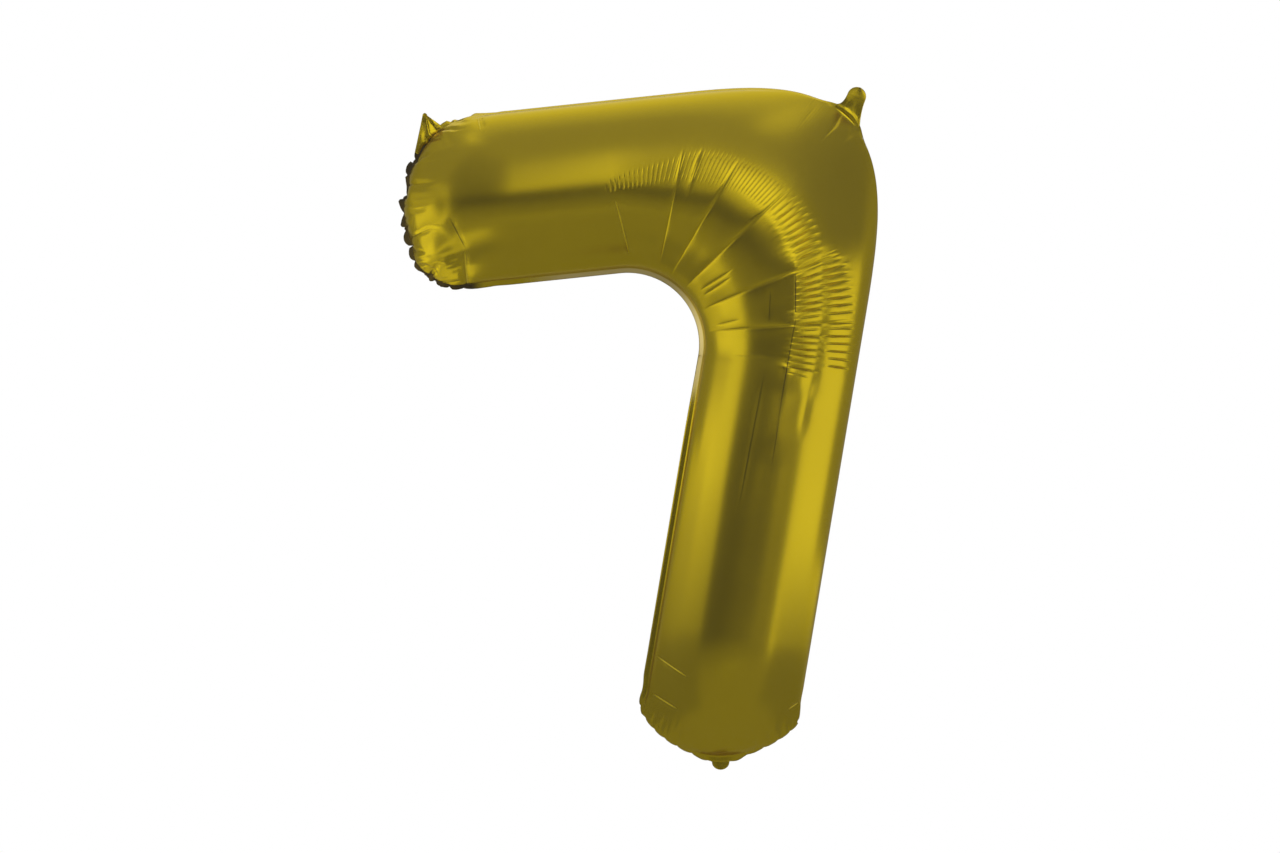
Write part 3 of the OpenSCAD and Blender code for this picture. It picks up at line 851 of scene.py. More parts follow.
class FilmRelaxer:
    """Relaxes the two panels as inextensible film under pressure, joined along their seam.

    Every grid edge and diagonal is drawn back to its length in the flat film in turn, odd and even ones
    apart, while pressure pushes the film outwards. Whatever changes slowly over the figure is held to the
    smooth inflated shape, so only folds and wrinkles form.
    """

    # Radius that makes a length of an angle round a rib, what is kept of a step's drift, how much of a slow
    # stray is taken back, and the steps between two looks at the push and two of those corrections.
    TUBE_R = 100 * MM
    DRAG = 0.85
    HOLD = 0.7
    PUSH_EVERY = 4
    HOLD_EVERY = 2

    def __init__(self, base: np.ndarray, along: np.ndarray, across: np.ndarray, ribs: Ribs,
                 phi: np.ndarray, calm: float) -> None:
        """Measure the flat film.

        Args:
            base: Smooth surfaces, by panel, rib, angle and axis.
            along: Spare length along the figure, by panel, rib and angle.
            across: Spare length across it, by rib and angle.
            ribs: The ribs.
            phi: Angles round a rib.
            calm: Distance over which the shape counts as changing slowly.
        """
        self.base = base.astype(np.float32)
        longer = 1 + along[..., None]
        wider = 1 + across[None, :, :, None]
        down = np.diff(base, axis=1) * 0.5 * (longer[:, 1:] + longer[:, :-1])
        over = np.diff(base, axis=2) * 0.5 * (wider[:, :, 1:] + wider[:, :, :-1])
        cell_down = 0.5 * (down[:, :, 1:] + down[:, :, :-1])
        cell_over = 0.5 * (over[:, 1:] + over[:, :-1])
        self.rest_down, self.rest_over, self.rest_fall, self.rest_rise = (
            np.linalg.norm(v, axis=-1).astype(np.float32)
            for v in (down, over, cell_down + cell_over, cell_over - cell_down))
        self.cell = float(np.median(self.rest_over))
        self.block_down = self.blocks(ribs.run, calm)
        self.block_over = self.blocks(phi * self.TUBE_R, calm)

    @staticmethod
    def blocks(place: np.ndarray, reach: float) -> tuple[np.ndarray, ...]:
        """Cut a line of places into blocks.

        Args:
            place: Places, rising.
            reach: Length of a block.

        Returns:
            First place and size of each block, and for each place the block before it and its share of the
            way to the next one.
        """
        number = (place - place[0]) / reach
        number = np.minimum(number, np.ceil(number[-1]) - 1).astype(int)
        first = np.flatnonzero(np.diff(number, prepend=-1))
        size = np.diff(np.append(first, len(place)))
        middle = np.add.reduceat(place, first) / size
        before = np.clip(np.searchsorted(middle, place) - 1, 0, len(middle) - 2)
        share = np.clip((place - middle[before]) / (middle[before + 1] - middle[before]), 0, 1)
        return first, size.astype(np.float32), before, share.astype(np.float32)

    @staticmethod
    def draw(a: np.ndarray, b: np.ndarray, rest: np.ndarray, squeeze: float) -> None:
        """Move two sets of points along the lines that join them, towards their rest lengths."""
        gap = b - a
        length = np.sqrt(np.einsum("...k,...k->...", gap, gap)) + TINY
        strain = (length - rest) / length
        strain *= np.where(strain > 0, 0.5, 0.5 * squeeze)
        gap *= strain[..., None]
        a += gap
        b -= gap

    def project(self, film: np.ndarray, squeeze: float) -> None:
        """Draw every edge and diagonal once."""
        for k in (0, 1):
            self.draw(film[:, k:-1:2], film[:, k + 1::2], self.rest_down[:, k::2], squeeze)
            self.draw(film[:, :, k:-1:2], film[:, :, k + 1::2], self.rest_over[:, :, k::2], squeeze)
            self.draw(film[:, k:-1:2, :-1], film[:, k + 1::2, 1:], self.rest_fall[:, k::2], squeeze)
            self.draw(film[:, k + 1::2, :-1], film[:, k:-1:2, 1:], self.rest_rise[:, k::2], squeeze)

    @staticmethod
    def outward(film: np.ndarray) -> np.ndarray:
        """Unit outward directions of both panels."""
        normal = unit(np.cross(np.gradient(film, axis=1), np.gradient(film, axis=2)))
        normal[1] *= -1
        return normal

    def slow_part(self, stray: np.ndarray) -> np.ndarray:
        """Part of an offset that changes slowly: its means over blocks, with straight lines between them."""
        first, size, before, share = self.block_over
        mean = np.add.reduceat(stray, first, axis=2) / size[:, None]
        first, size, above, down = self.block_down
        mean = np.add.reduceat(mean, first, axis=1) / size[:, None, None]
        mean = mean[:, :, before] + share[:, None] * (mean[:, :, before + 1] - mean[:, :, before])
        return mean[:, above] + down[:, None, None] * (mean[:, above + 1] - mean[:, above])

    def run(self, film: np.ndarray, steps: int, pressure: float, squeeze: float, bend: float) -> np.ndarray:
        """Relax the film.

        Args:
            film: Starting points, by panel, rib, angle and axis.
            steps: Number of steps.
            pressure: Outward push of a step, as a share of a grid cell.
            squeeze: How firmly an edge resists being shortened, from 0 to 1.
            bend: How firmly the film resists bending, from 0 to 1.

        Returns:
            The relaxed points.
        """
        film = film.astype(np.float32)
        before = film.copy()
        push = 0.0
        for step in range(steps):
            if step % self.PUSH_EVERY == 0:
                push = (pressure * self.cell) * self.outward(film)
            drift = self.DRAG * (film - before)
            before = film.copy()
            film += drift + push
            self.project(film, squeeze)
            stray = film - self.base
            if step % self.HOLD_EVERY == self.HOLD_EVERY - 1:
                stray -= self.HOLD * self.slow_part(stray)
            stray[:, 1:-1] += bend * (0.5 * (stray[:, :-2] + stray[:, 2:]) - stray[:, 1:-1])
            stray[:, :, 1:-1] += bend * (0.5 * (stray[:, :, :-2] + stray[:, :, 2:]) - stray[:, :, 1:-1])
            film = self.base + stray
            seam = 0.5 * (film[0] + film[1])
            for edge in (np.s_[0], np.s_[-1], np.s_[:, 0], np.s_[:, -1]):
                film[0][edge] = seam[edge]
                film[1][edge] = seam[edge]
        return film


@dataclass(frozen=True)
class SeamStrip:
    """The strip outside the seam, where the plies of both panels are welded, in metres and degrees."""

    figure: Figure
    columns: int = 4
    # Its lean to the back along the inner side, the foot, the outer side and the arm's end, and how far
    # puckers draw it in along each of these, from 0 to 1.
    tilts: tuple[float, ...] = (36.0, 70.0, 66.0, 26.0)
    drawn: tuple[float, ...] = (0.0, 1.0, 0.0, 1.0)
    # It leans less down the stem's inner side, more where the outer side faces right, and above the left
    # tab by an angle of its own.
    stem_tilt: float = 26.0
    stem_reach: Span = (20 * MM, 100 * MM)
    corner_tilt: float = 20.0
    corner_reach: Span = (0.2, 0.8)
    top_tilt: float = 78.0
    # It lies flat near the folds of the tabs and the tail, for the tail also after smoothing.
    fold_clear: Span = (16 * MM, 34 * MM)
    tail_clear: Span = (0.013, 0.03)
    # Points of the seam for each round of smoothing its line, and the strip's lean.
    line_round: int = 24
    tilt_round: int = 20
    # Puckers along the ends: their length, their uneven spacing in radians and over how many lengths it
    # changes, and how much wider and narrower they make the strip, as shares.
    bead: float = 20 * MM
    bead_wander: float = 0.9
    bead_drift: float = 1.7
    bead_swell: float = 0.8
    bead_draw: float = 0.75
    # Share of the seam's own sway that its free edge adds, by axis.
    sway: tuple[float, float, float] = (0.2, 0.9, 0.2)
    # Where the pale tint ends along the arm, down the stem and round the crook, where the brown painted
    # shade sets in along the arm, and where it ends above the left tab's fold.
    pale_arm: Span = (60 * MM, 130 * MM)
    pale_stem: Span = (20 * MM, 70 * MM)
    pale_crook: Span = (120 * MM, 160 * MM)
    brown_arm: Span = (170 * MM, 190 * MM)
    brown_top: Span = (0.0, 10 * MM)

    @staticmethod
    def eased(values: np.ndarray, every: int) -> np.ndarray:
        """Smooth values round the seam with weights 1, 2 and 1, one round for every so many values."""
        for _ in range(len(values) // every):
            values = 0.5 * values + 0.25 * (np.roll(values, 1, 0) + np.roll(values, -1, 0))
        return values

    def points(self, film: np.ndarray) -> np.ndarray:
        """Work out the strip's middle surface.

        It leaves the seam square to the outline, leaning back by a tilt that changes round the figure,
        and it sways front and back with the seam, more so towards its free edge. Along the two ends
        puckers draw it in, so that its width follows the size of a sine of the distance along the seam.

        Args:
            film: Relaxed panels.

        Returns:
            Points by column outwards, place round the seam and axis.
        """
        line = round_edge(film[0]).astype(float)
        calm = self.eased(line, self.line_round)
        ahead = np.roll(calm, -1, 0) - np.roll(calm, 1, 0)
        ahead[:, 1] = 0
        ahead = unit(ahead)
        out = np.stack([ahead[:, 2], np.zeros(len(line)), -ahead[:, 0]], -1)
        tilt, drawn = self.lie(calm, out, film.shape[1] - 1, film.shape[2] - 1)
        lean = np.cos(tilt) * out + np.sin(tilt) * BACKWARDS
        way = np.cumsum(np.linalg.norm(np.diff(calm, axis=0, prepend=calm[-1:]), axis=1))
        wander = self.bead_wander * np.sin(way / (self.bead_drift * self.bead))
        beads = self.bead_swell * np.sqrt(np.abs(np.sin(np.pi * way / self.bead + wander)))
        width = self.figure.seam_w * (1 + drawn * (beads - self.bead_draw))[:, None]
        sway = np.array(self.sway) * (line - calm)
        share = np.linspace(0, 1, self.columns + 1)[:, None, None]
        return line[None] + share * (width * lean + sway)[None]

    def lie(self, calm: np.ndarray, out: np.ndarray, rows: int,
            columns: int) -> tuple[np.ndarray, np.ndarray]:
        """Work out how the strip leans, flat at the tabs and at the tail.

        Args:
            calm: The seam's line without its puckers.
            out: Directions square to it, in the seam's plane.
            rows: Number of its points on the inner side, and on the outer one.
            columns: Number of its points on each end.

        Returns:
            Its lean to the back in radians, as a column, and how far puckers draw it in, from 0 to 1.
        """
        lengths = (rows, columns, rows, columns)
        tilt, drawn = np.repeat(self.tilts, lengths), np.repeat(self.drawn, lengths)
        inner, outer = np.s_[:rows], np.s_[rows + columns:2 * rows + columns]
        down = -(self.figure.plan(calm) @ self.figure.up_stem)
        tilt[inner] -= self.stem_tilt * smooth_step(*self.stem_reach, down[inner])
        tilt[outer] += self.corner_tilt * smooth_step(*self.corner_reach, out[outer, 0])
        above = np.arange(len(calm)) >= 2 * rows + columns
        above &= calm[:, 2] > joint_place("left_tab_fold")[2]
        tilt[above], drawn[above] = self.top_tilt, 0.0
        for name in ("left_tab_fold", "right_tab_fold", "tail_fold"):
            clear = smooth_step(*self.fold_clear, from_joint(name, calm))
            tilt *= clear
            drawn *= clear
        tilt, drawn = self.eased(tilt, self.tilt_round), self.eased(drawn, self.tilt_round)
        tilt *= smooth_step(*self.tail_clear, from_joint("tail_fold", calm))
        return np.radians(tilt)[:, None], drawn

    def shade(self, flange: np.ndarray) -> np.ndarray:
        """Work out the strip's tint.

        Round the crook the strip is tinted pale. Where it is gathered below the left tab, round the
        arm's end, it is painted brown, as painted shade of the gathered strip.

        Args:
            flange: The strip's points.

        Returns:
            A shade for every place round the seam, from -1 for brown painted shade to 1 for pale.
        """
        figure = self.figure
        plan = figure.plan(flange[0])
        along_arm, down_stem = -(plan @ figure.along_arm), -(plan @ figure.up_stem)
        crook = np.linalg.norm(plan - 0.5 * figure.crook_r * figure.heading(45.0), axis=1)
        above_tab = flange[0, :, 2] - joint_place("left_tab_fold")[2]
        pale = ((1 - smooth_step(*self.pale_arm, along_arm)) * (1 - smooth_step(*self.pale_stem, down_stem))
                * (1 - smooth_step(*self.pale_crook, crook - np.maximum(along_arm, 0))))
        brown = smooth_step(*self.brown_arm, along_arm) * (1 - smooth_step(*self.brown_top, above_tab))
        return pale - brown


@dataclass
class Envelope:
    """The two film panels with their welded seam, in metres."""

    figure: Figure
    spare: SpareFilm
    strip: SeamStrip
    # Steps of the first grid round the arm's end, along the arm, round the bend, down the stem and round
    # the foot, and across the figure. Each later grid is twice as fine.
    coarse: tuple[int, int, int, int, int] = (12, 8, 120, 18, 12)
    coarse_columns: int = 32
    levels: int = 3
    quick_levels: int = 2
    # Steps of relaxing and how firmly film resists shortening and bending, by grid. Then the push of a step
    # as a share of a cell, and the distance over which the shape counts as changing slowly.
    steps: tuple[int, ...] = (60, 260, 240)
    squeeze: tuple[float, ...] = (0.6, 0.6, 0.9)
    bend: tuple[float, ...] = (0.02, 0.02, 0.012)
    pressure: float = 0.003
    calm: float = 22 * MM
    # Unevenness near the ends, puckers of the ends and small wrinkles of the bend: the grids on which they
    # start, their first heights and the puckers' uneven spacing in radians at so many places.
    jitter: float = 0.03 * MM
    pucker_level: int = 1
    pucker_start: float = 1.0 * MM
    pucker_wander: float = 1.2
    pucker_knots: int = 12
    rung_level: int = 2
    rung_start: float = 0.5 * MM
    # Where the line of painted shade or of a matt edge beside a sharp fold ends.
    fold_reach: Span = (4 * MM, 6 * MM)
    # Thickness of the film, distance of each ply from the seam's middle, and the weld as a share of that.
    wall: float = 0.05 * MM
    ply_gap: float = 0.06 * MM
    weld_share: float = 0.6
    # Round the tail's fold: half the weld's opening, where folds of the film set in, where the plies close
    # up, and how much further apart they are before that, as a multiple.
    neck_half: float = 14 * MM
    neck_flat: Span = (14 * MM, 34 * MM)
    neck_open: Span = (20 * MM, 30 * MM)
    neck_plies: float = 4.0

    def relaxed(self) -> tuple[np.ndarray, list[tuple[np.ndarray, ...]]]:
        """Relax the film on finer and finer grids, and draw it flat again round the valve's neck.

        Returns:
            Points by panel, rib, angle and axis, and for each panel its wrinkles.
        """
        rng = np.random.default_rng(SEED)
        panels = [side.panel for side in Side]
        stray = None
        for level in range(self.levels):
            factor = 2 ** level
            ribs = self.figure.ribs(tuple(factor * n for n in self.coarse))
            phi = np.linspace(0, np.pi, factor * self.coarse_columns + 1)
            smooth = np.stack([self.figure.film(ribs, phi, side) for side in Side])
            plan = self.figure.plan(smooth)
            raised = np.stack([self.spare.gores(phi, plan[panel], panel)
                               + sum(fold.height(plan[panel]) for fold in CREASES[panel] + PILLOWS[panel])
                               for panel in panels])
            outward = FilmRelaxer.outward(smooth)
            raised[:, [0, -1]] = raised[:, :, [0, -1]] = 0.0
            base = smooth + raised[..., None] * outward
            ladders = [self.spare.ladder(plan[panel], panel) for panel in panels]
            along = np.stack([self.spare.along(ribs, phi, spare) for _, _, spare in ladders])
            along *= level >= self.rung_level
            across = self.spare.across(ribs, phi) * (level >= self.pucker_level)
            film = base if stray is None else base + doubled(doubled(stray, 1), 2)
            if level == self.pucker_level:
                film = film + self.puckers(base, ribs, rng)
            if level == self.rung_level:
                rungs = np.stack([self.rung_start * spare * np.cos(2 * np.pi * rung)
                                  for _, rung, spare in ladders])
                film = film + rungs[..., None] * outward
            film = film + rng.normal(0, self.jitter, film.shape) * (ribs.closing ** 4)[None, :, None, None]
            relaxer = FilmRelaxer(base, along, across, ribs, phi, self.calm)
            film = relaxer.run(film, self.steps[level], self.pressure, self.squeeze[level], self.bend[level])
            stray = film - base
            LOG.info("film relaxed at %d by %d, folds up to %.1f mm", len(ribs.run), len(phi),
                     np.abs(stray).max() / MM)
        loose = smooth_step(*self.neck_flat, from_joint("tail_fold", film))
        return base + loose[..., None] * stray, ladders

    def puckers(self, base: np.ndarray, ribs: Ribs, rng: np.random.Generator) -> np.ndarray:
        """Start the puckers of the two end seams.

        Along each end seam the film sways front and back as a cosine of the distance along the seam,
        and the sway dies out with the distance from that seam.

        Args:
            base: Smooth surfaces.
            ribs: The ribs.
            rng: Source of the puckers' uneven spacing.

        Returns:
            Offsets in metres.
        """
        start = np.zeros_like(base)
        for row, at_end in ((0, ribs.run < 0), (-1, ribs.run > 0)):
            seam = base[0, row]
            way = np.concatenate([[0.0], np.cumsum(np.linalg.norm(np.diff(seam, axis=0), axis=1))])
            knots = rng.uniform(-self.pucker_wander, self.pucker_wander, self.pucker_knots)
            wander = np.interp(way, np.linspace(0, way[-1], self.pucker_knots), knots)
            sway = self.pucker_start * np.cos(2 * np.pi * way / (self.spare.pucker_mm * MM) + wander)
            start[..., 1] += (ribs.closing ** 2 * at_end)[None, :, None] * sway[None, None, :]
        return start

    def build(self, finish: bpy.types.Material, sealant: bpy.types.Material) -> np.ndarray:
        """Make the panels and the weld between them.

        Args:
            finish: Material of the film.
            sealant: Material of the weld.

        Returns:
            The welded strip, by column outwards, place round the seam and axis.
        """
        film, ladders = self.relaxed()
        flange = self.strip.points(film)
        shade = self.strip.shade(flange)
        for side, name, node in ((Side.FRONT, "front_film", "front_panel"),
                                 (Side.BACK, "back_film", "back_panel")):
            points, quads = self.panel(film[side.panel], flange, side)
            marks = self.marks(film[side.panel], ladders[side.panel], shade, side)
            piece = mesh_piece(name, points, quads, finish, self.wall, marks=marks)
            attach(piece, "balloon")
            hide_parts(node)
        shut = from_joint("tail_fold", flange[0]) > self.neck_half
        quads = grid_quads(closed(numbered(flange))).reshape(len(flange) - 1, -1, 4)
        weld = mesh_piece("seam_band", flange, quads[:, shut].reshape(-1, 4), sealant,
                          self.weld_share * self.ply_gap, offset=0.0)
        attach(weld, "balloon")
        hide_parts("seam_weld")
        return flange

    def marks(self, film: np.ndarray, ladder: tuple[np.ndarray, ...], shade: np.ndarray,
              side: Side) -> dict[str, np.ndarray]:
        """Work out the attributes that the film's material reads.

        Args:
            film: The relaxed panel.
            ladder: Its wrinkles.
            shade: The strip's tint round the seam: pale, or brown painted shade.
            side: Which panel.

        Returns:
            By name, a value for every point of the film and then of the panel's ply of the strip.
        """
        depth, rung, _ = ladder
        fold, gloom = self.sharp_folds(film, side)
        strip = np.tile(shade, self.strip.columns)
        marks = {name: np.concatenate([values.ravel(), np.zeros(strip.size)])
                 for name, values in (("fold", fold), ("fold_shade", gloom), ("rung", rung + 0.5),
                                      ("rung_depth", depth))}
        marks["seal"] = np.concatenate([np.zeros(depth.size), strip])
        # The film's edge at the seam takes the strip's brown painted shade, but not its pale tint.
        marks["seal"][round_edge(numbered(depth))] = np.minimum(shade, 0)
        return marks

    def sharp_folds(self, film: np.ndarray, side: Side) -> tuple[np.ndarray, np.ndarray]:
        """Find the nearest sharp fold that shows as a dark or bright line.

        Args:
            film: The relaxed panel.
            side: Which panel.

        Returns:
            Distance to the right of its line in millimetres, and how dark its painted shade is, from -1 to 1,
            by rib and angle.
        """
        plan = self.figure.plan(film)
        nearest, shade = np.ones(plan.shape[:-1]), np.zeros(plan.shape[:-1])
        for crease in CREASES[side.panel]:
            fade, aside = crease.place(plan)
            nearer = (crease.shade * fade != 0) & (np.abs(aside) < np.abs(nearest))
            close = 1 - smooth_step(*self.fold_reach, np.abs(aside))
            nearest = np.where(nearer, aside, nearest)
            shade = np.where(nearer, crease.shade * fade * close, shade)
        return nearest / MM, shade

    def panel(self, film: np.ndarray, flange: np.ndarray, side: Side) -> tuple[np.ndarray, np.ndarray]:
        """Join a panel's film to its own ply of the seam.

        Args:
            film: The relaxed panel.
            flange: Middle surface of the welded strip.
            side: Which panel.

        Returns:
            Points and faces, outward side first.
        """
        numbers = numbered(film)
        outer = flange[1:]
        ring = np.concatenate([round_edge(numbers)[None], numbers.size + numbered(outer)])
        quads = np.concatenate([grid_quads(numbers), grid_quads(closed(ring))])
        neck = 1 - smooth_step(*self.neck_open, from_joint("tail_fold", flange))
        shift = side.value * self.ply_gap * (1 + self.neck_plies * neck)[..., None] * BACKWARDS
        points = np.concatenate([film.reshape(-1, 3), (outer + shift[1:]).reshape(-1, 3)])
        points[round_edge(numbers)] += shift[0]
        return points, quads if side is Side.FRONT else quads[:, ::-1]


@dataclass
class HangTab:
    """A hanging tab: an ear of both films outside the seam, crumpled where it leaves the balloon.

    Attributes:
        name: Name of the piece.
        joint: Joint on which it folds.
        body: Body that it belongs to, not used.
        node: Node that it replaces.
        lean: Direction in which it stands, in degrees from level.
        length: From the seam's edge to its tip, in metres like the other lengths.
        tip_r: Radius of its tip.
        root_w: Width along the seam's edge.
        waist: How far its sides keep straight before they flare to the root, from 0 to 1.
        crumple: Height of the folds near its root.
        curl: How far its tip curls to the front.
    """

    name: str
    joint: str
    body: str
    node: str
    lean: float
    length: float
    tip_r: float
    root_w: float
    waist: float
    crumple: float
    curl: float
    # Half waves of the folds on each half of the width, the share of them lost towards the tip, where they
    # start in radians, and the shares of the length over which they rise and die out.
    folds: float = 1.6
    fan: float = 0.5
    phase: float = 0.7
    crumple_in: Span = (0.0, 0.15)
    crumple_out: Span = (0.15, 0.6)
    # Share of the curl that the sides are without, and share of the length before the round tip.
    flat_sides: float = 0.6
    body_share: float = 0.7
    # Thickness of both films, and the length that bends on the joint.
    wall: float = 0.2 * MM
    bend: float = 5 * MM
    # Points of the seam's edge on each side of the joint among which the root lies, and the tab's own.
    reach: int = 240
    rows: int = 48
    columns: int = 40

    def build(self, flange: np.ndarray, finish: bpy.types.Material) -> None:
        """Make the tab.

        Each line across it runs from the seam's edge to the tip along a curve that bends in at the waist.
        The round tip is half a disc. The root is tucked between the plies of the seam. Folds that fan
        out from the root are the size of a sine across the tab, and die out before the tip.

        Args:
            flange: The welded strip.
            finish: Material of the film.
        """
        edge = flange[-1]
        order = (np.argmin(from_joint(self.joint, edge)) + np.arange(-self.reach, self.reach + 1)) % len(edge)
        way = np.cumsum(np.linalg.norm(np.diff(edge[order], axis=0, prepend=edge[order[:1]]), axis=1))
        way -= way[self.reach]
        v = np.linspace(-1, 1, self.columns + 1)
        root, tuck = (np.stack([np.interp(v * self.root_w / 2, way, line[order, k]) for k in range(3)], -1)
                      for line in (edge, flange[1]))
        ahead = np.array([np.cos(np.radians(self.lean)), 0.0, np.sin(np.radians(self.lean))])
        aside = np.array([-ahead[2], 0.0, ahead[0]])
        tip = root[self.columns // 2] + (self.length - self.tip_r) * ahead
        ends = tip + v[:, None] * self.tip_r * aside
        waist = ends - self.waist * (self.length - self.tip_r) * ahead
        k = np.linspace(0, 1, self.rows)[:, None, None]
        body = (1 - k) ** 2 * root + 2 * k * (1 - k) * waist + k ** 2 * ends
        a = np.radians(np.linspace(0, POLE_DEGREES, self.rows // 2)[1:])[:, None, None]
        cap = tip + self.tip_r * (np.sin(a) * ahead + np.cos(a) * v[None, :, None] * aside)
        points = np.concatenate([tuck[None], body, cap])
        u = np.concatenate([[0.0], np.linspace(0, self.body_share, self.rows),
                            np.linspace(self.body_share, 1, self.rows // 2)[1:]])[:, None]
        rise = smooth_step(*self.crumple_in, u) * (1 - smooth_step(*self.crumple_out, u))
        wave = np.sin(self.folds * np.pi * v[None, :] * (1 - self.fan * u) + self.phase)
        points[..., 1] += self.crumple * rise * np.abs(wave)
        points[..., 1] -= self.curl * u ** 2 * (1 - self.flat_sides * v[None, :] ** 2)
        piece = mesh_piece(self.name, points, grid_quads(numbered(points)), finish, self.wall, offset=0.0)
        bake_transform(piece)
        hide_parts(self.node)


@dataclass
class FillingTail:
    """The filling tail: two loose plies that hang from the neck below the foot, in metres."""

    width: float = 22 * MM
    length: float = 9.5 * MM
    # How far each ply stands off the middle at its sides and bulges further between them, and how far it
    # reaches up between the panels, as a share of the seam's width.
    gap: float = 0.1 * MM
    gape: float = 0.5 * MM
    tuck: float = 0.6
    # Thickness of the film, and the length that bends on the joint.
    wall: float = 0.05 * MM
    bend: float = 3 * MM
    rows: int = 20
    columns: int = 24

    def build(self, figure: Figure, finish: bpy.types.Material) -> None:
        """Make both plies.

        Each is half an ellipse hung from the neck, tucked into the seam, and bulges away from the other.

        Args:
            figure: Sizes of the balloon.
            finish: Material of the film.
        """
        hinge, down = joint_place("tail_fold"), joint_outward("tail_fold")
        aside = np.cross(BACKWARDS, down)
        v = np.linspace(-1, 1, self.columns + 1)[None, :, None]
        a = np.radians(np.linspace(0, POLE_DEGREES, self.rows))[:, None, None]
        lobe = hinge + self.width / 2 * np.cos(a) * v * aside + self.length * np.sin(a) * down
        points = np.concatenate([lobe[:1] - self.tuck * figure.seam_w * down, lobe])
        bulge = np.concatenate([np.zeros((1, 1)), np.sin(a[..., 0])]) * (1 - v[..., 0] ** 2)
        for side, name, node in ((Side.FRONT, "tail_front_film", "tail_front_ply"),
                                 (Side.BACK, "tail_back_film", "tail_back_ply")):
            ply = points.copy()
            ply[..., 1] += side.value * (self.gap + self.gape * bulge)
            piece = mesh_piece(name, ply, grid_quads(numbered(ply)), finish, self.wall, offset=0.0)
            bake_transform(piece)
            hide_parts(node)


def hang_board(name: str, points: np.ndarray, axis: str, span: Span,
               greys: Span) -> None:
    """Hang a plain glowing board that shiny film mirrors, unseen by the camera.

    Args:
        name: Name of the board.
        points: Its surface, as a grid of points.
        axis: Axis along which its shade changes.
        span: Places on that axis between which it changes.
        greys: Its shade in linear light at both of them.
    """
    made, tree = new_material(f"painted_board_{name}")
    where = add_node(tree, "ShaderNodeTexCoord").outputs["Object"]
    place = add_node(tree, "ShaderNodeSeparateXYZ", links={0: where}).outputs[axis]
    shade = add_node(tree, "ShaderNodeMapRange",
                     values=dict(zip(("From Min", "From Max", "To Min", "To Max"), (*span, *greys))),
                     links={"Value": place}).outputs["Result"]
    glow = add_node(tree, "ShaderNodeEmission", links={"Strength": shade})
    tree.links.new(glow.outputs[0], tree.nodes["Material Output"].inputs[0])
    board = mesh_piece(name, points, grid_quads(numbered(points)), made)
    board.visible_camera = board.visible_shadow = board.visible_diffuse = False


@dataclass(frozen=True)
class Flag:
    """A board of the studio that is part of an upright cylinder round the balloon.

    Attributes:
        name: Name of the board.
        greys: Its shade in linear light along its lower and upper edges.
        azimuths: Its left and right edges, in degrees from the camera's side, to the right.
        heights: Its lower and upper edges in metres above the camera's height.
        radius: Its distance from the balloon in metres.
        columns: Points along its curve.
    """

    name: str
    greys: Span
    azimuths: Span
    heights: Span
    radius: float = 4.5
    columns: int = 33

    def build(self, middle: np.ndarray) -> None:
        """Hang the board round the balloon's middle, at the camera's height."""
        a = np.radians(np.linspace(*self.azimuths, self.columns))[:, None]
        z = np.array(self.heights)[None, :]
        curve = np.broadcast_arrays(self.radius * np.sin(a), -self.radius * np.cos(a), z)
        span = tuple(height + middle[2] for height in self.heights)
        hang_board(self.name, np.stack(curve, -1) + middle, "Z", span, self.greys)


@dataclass(frozen=True)
class Sheet:
    """A level board of the studio, above or below the balloon.

    Attributes:
        name: Name of the board.
        offset: Its middle, in metres from the balloon's.
        half: Half its width and half its depth in metres.
        greys: Its shade in linear light near the camera and at the back.
        fade: Distances behind its middle between which the shade changes, in metres.
    """

    name: str
    offset: tuple[float, float, float]
    half: Span
    greys: Span
    fade: Span = (-0.5, 2.2)

    def build(self, middle: np.ndarray) -> None:
        """Hang the board at its place from the balloon's middle, facing down."""
        place = middle + np.array(self.offset)
        width, depth = self.half
        x, y = np.meshgrid([-width, width], [-depth, depth])
        span = tuple(place[1] + distance for distance in self.fade)
        hang_board(self.name, np.stack([x, y, np.zeros_like(x)], -1) + place, "Y", span, self.greys)


@dataclass(frozen=True)
class Softbox:
    """A rectangular soft lamp that faces the balloon and that shiny film doesn't mirror.

    Attributes:
        name: Name of the lamp.
        offset: Where it hangs, in metres from the balloon's middle.
        size: Width and height in metres.
        watts: Power.
    """

    name: str
    offset: tuple[float, float, float]
    size: Span
    watts: float

    def build(self, middle: np.ndarray) -> None:
        """Hang the lamp at its place from the balloon's middle."""
        light = bpy.data.lights.new(self.name, "AREA")
        light.shape = "RECTANGLE"
        light.size, light.size_y = self.size
        light.energy = self.watts
        lamp = bpy.data.objects.new(self.name, light)
        lamp.location = middle + np.array(self.offset)
        lamp.rotation_euler = Vector(-np.array(self.offset)).to_track_quat("-Z", "Y").to_euler()
        lamp.visible_camera = lamp.visible_glossy = False
        bpy.context.scene.collection.objects.link(lamp)


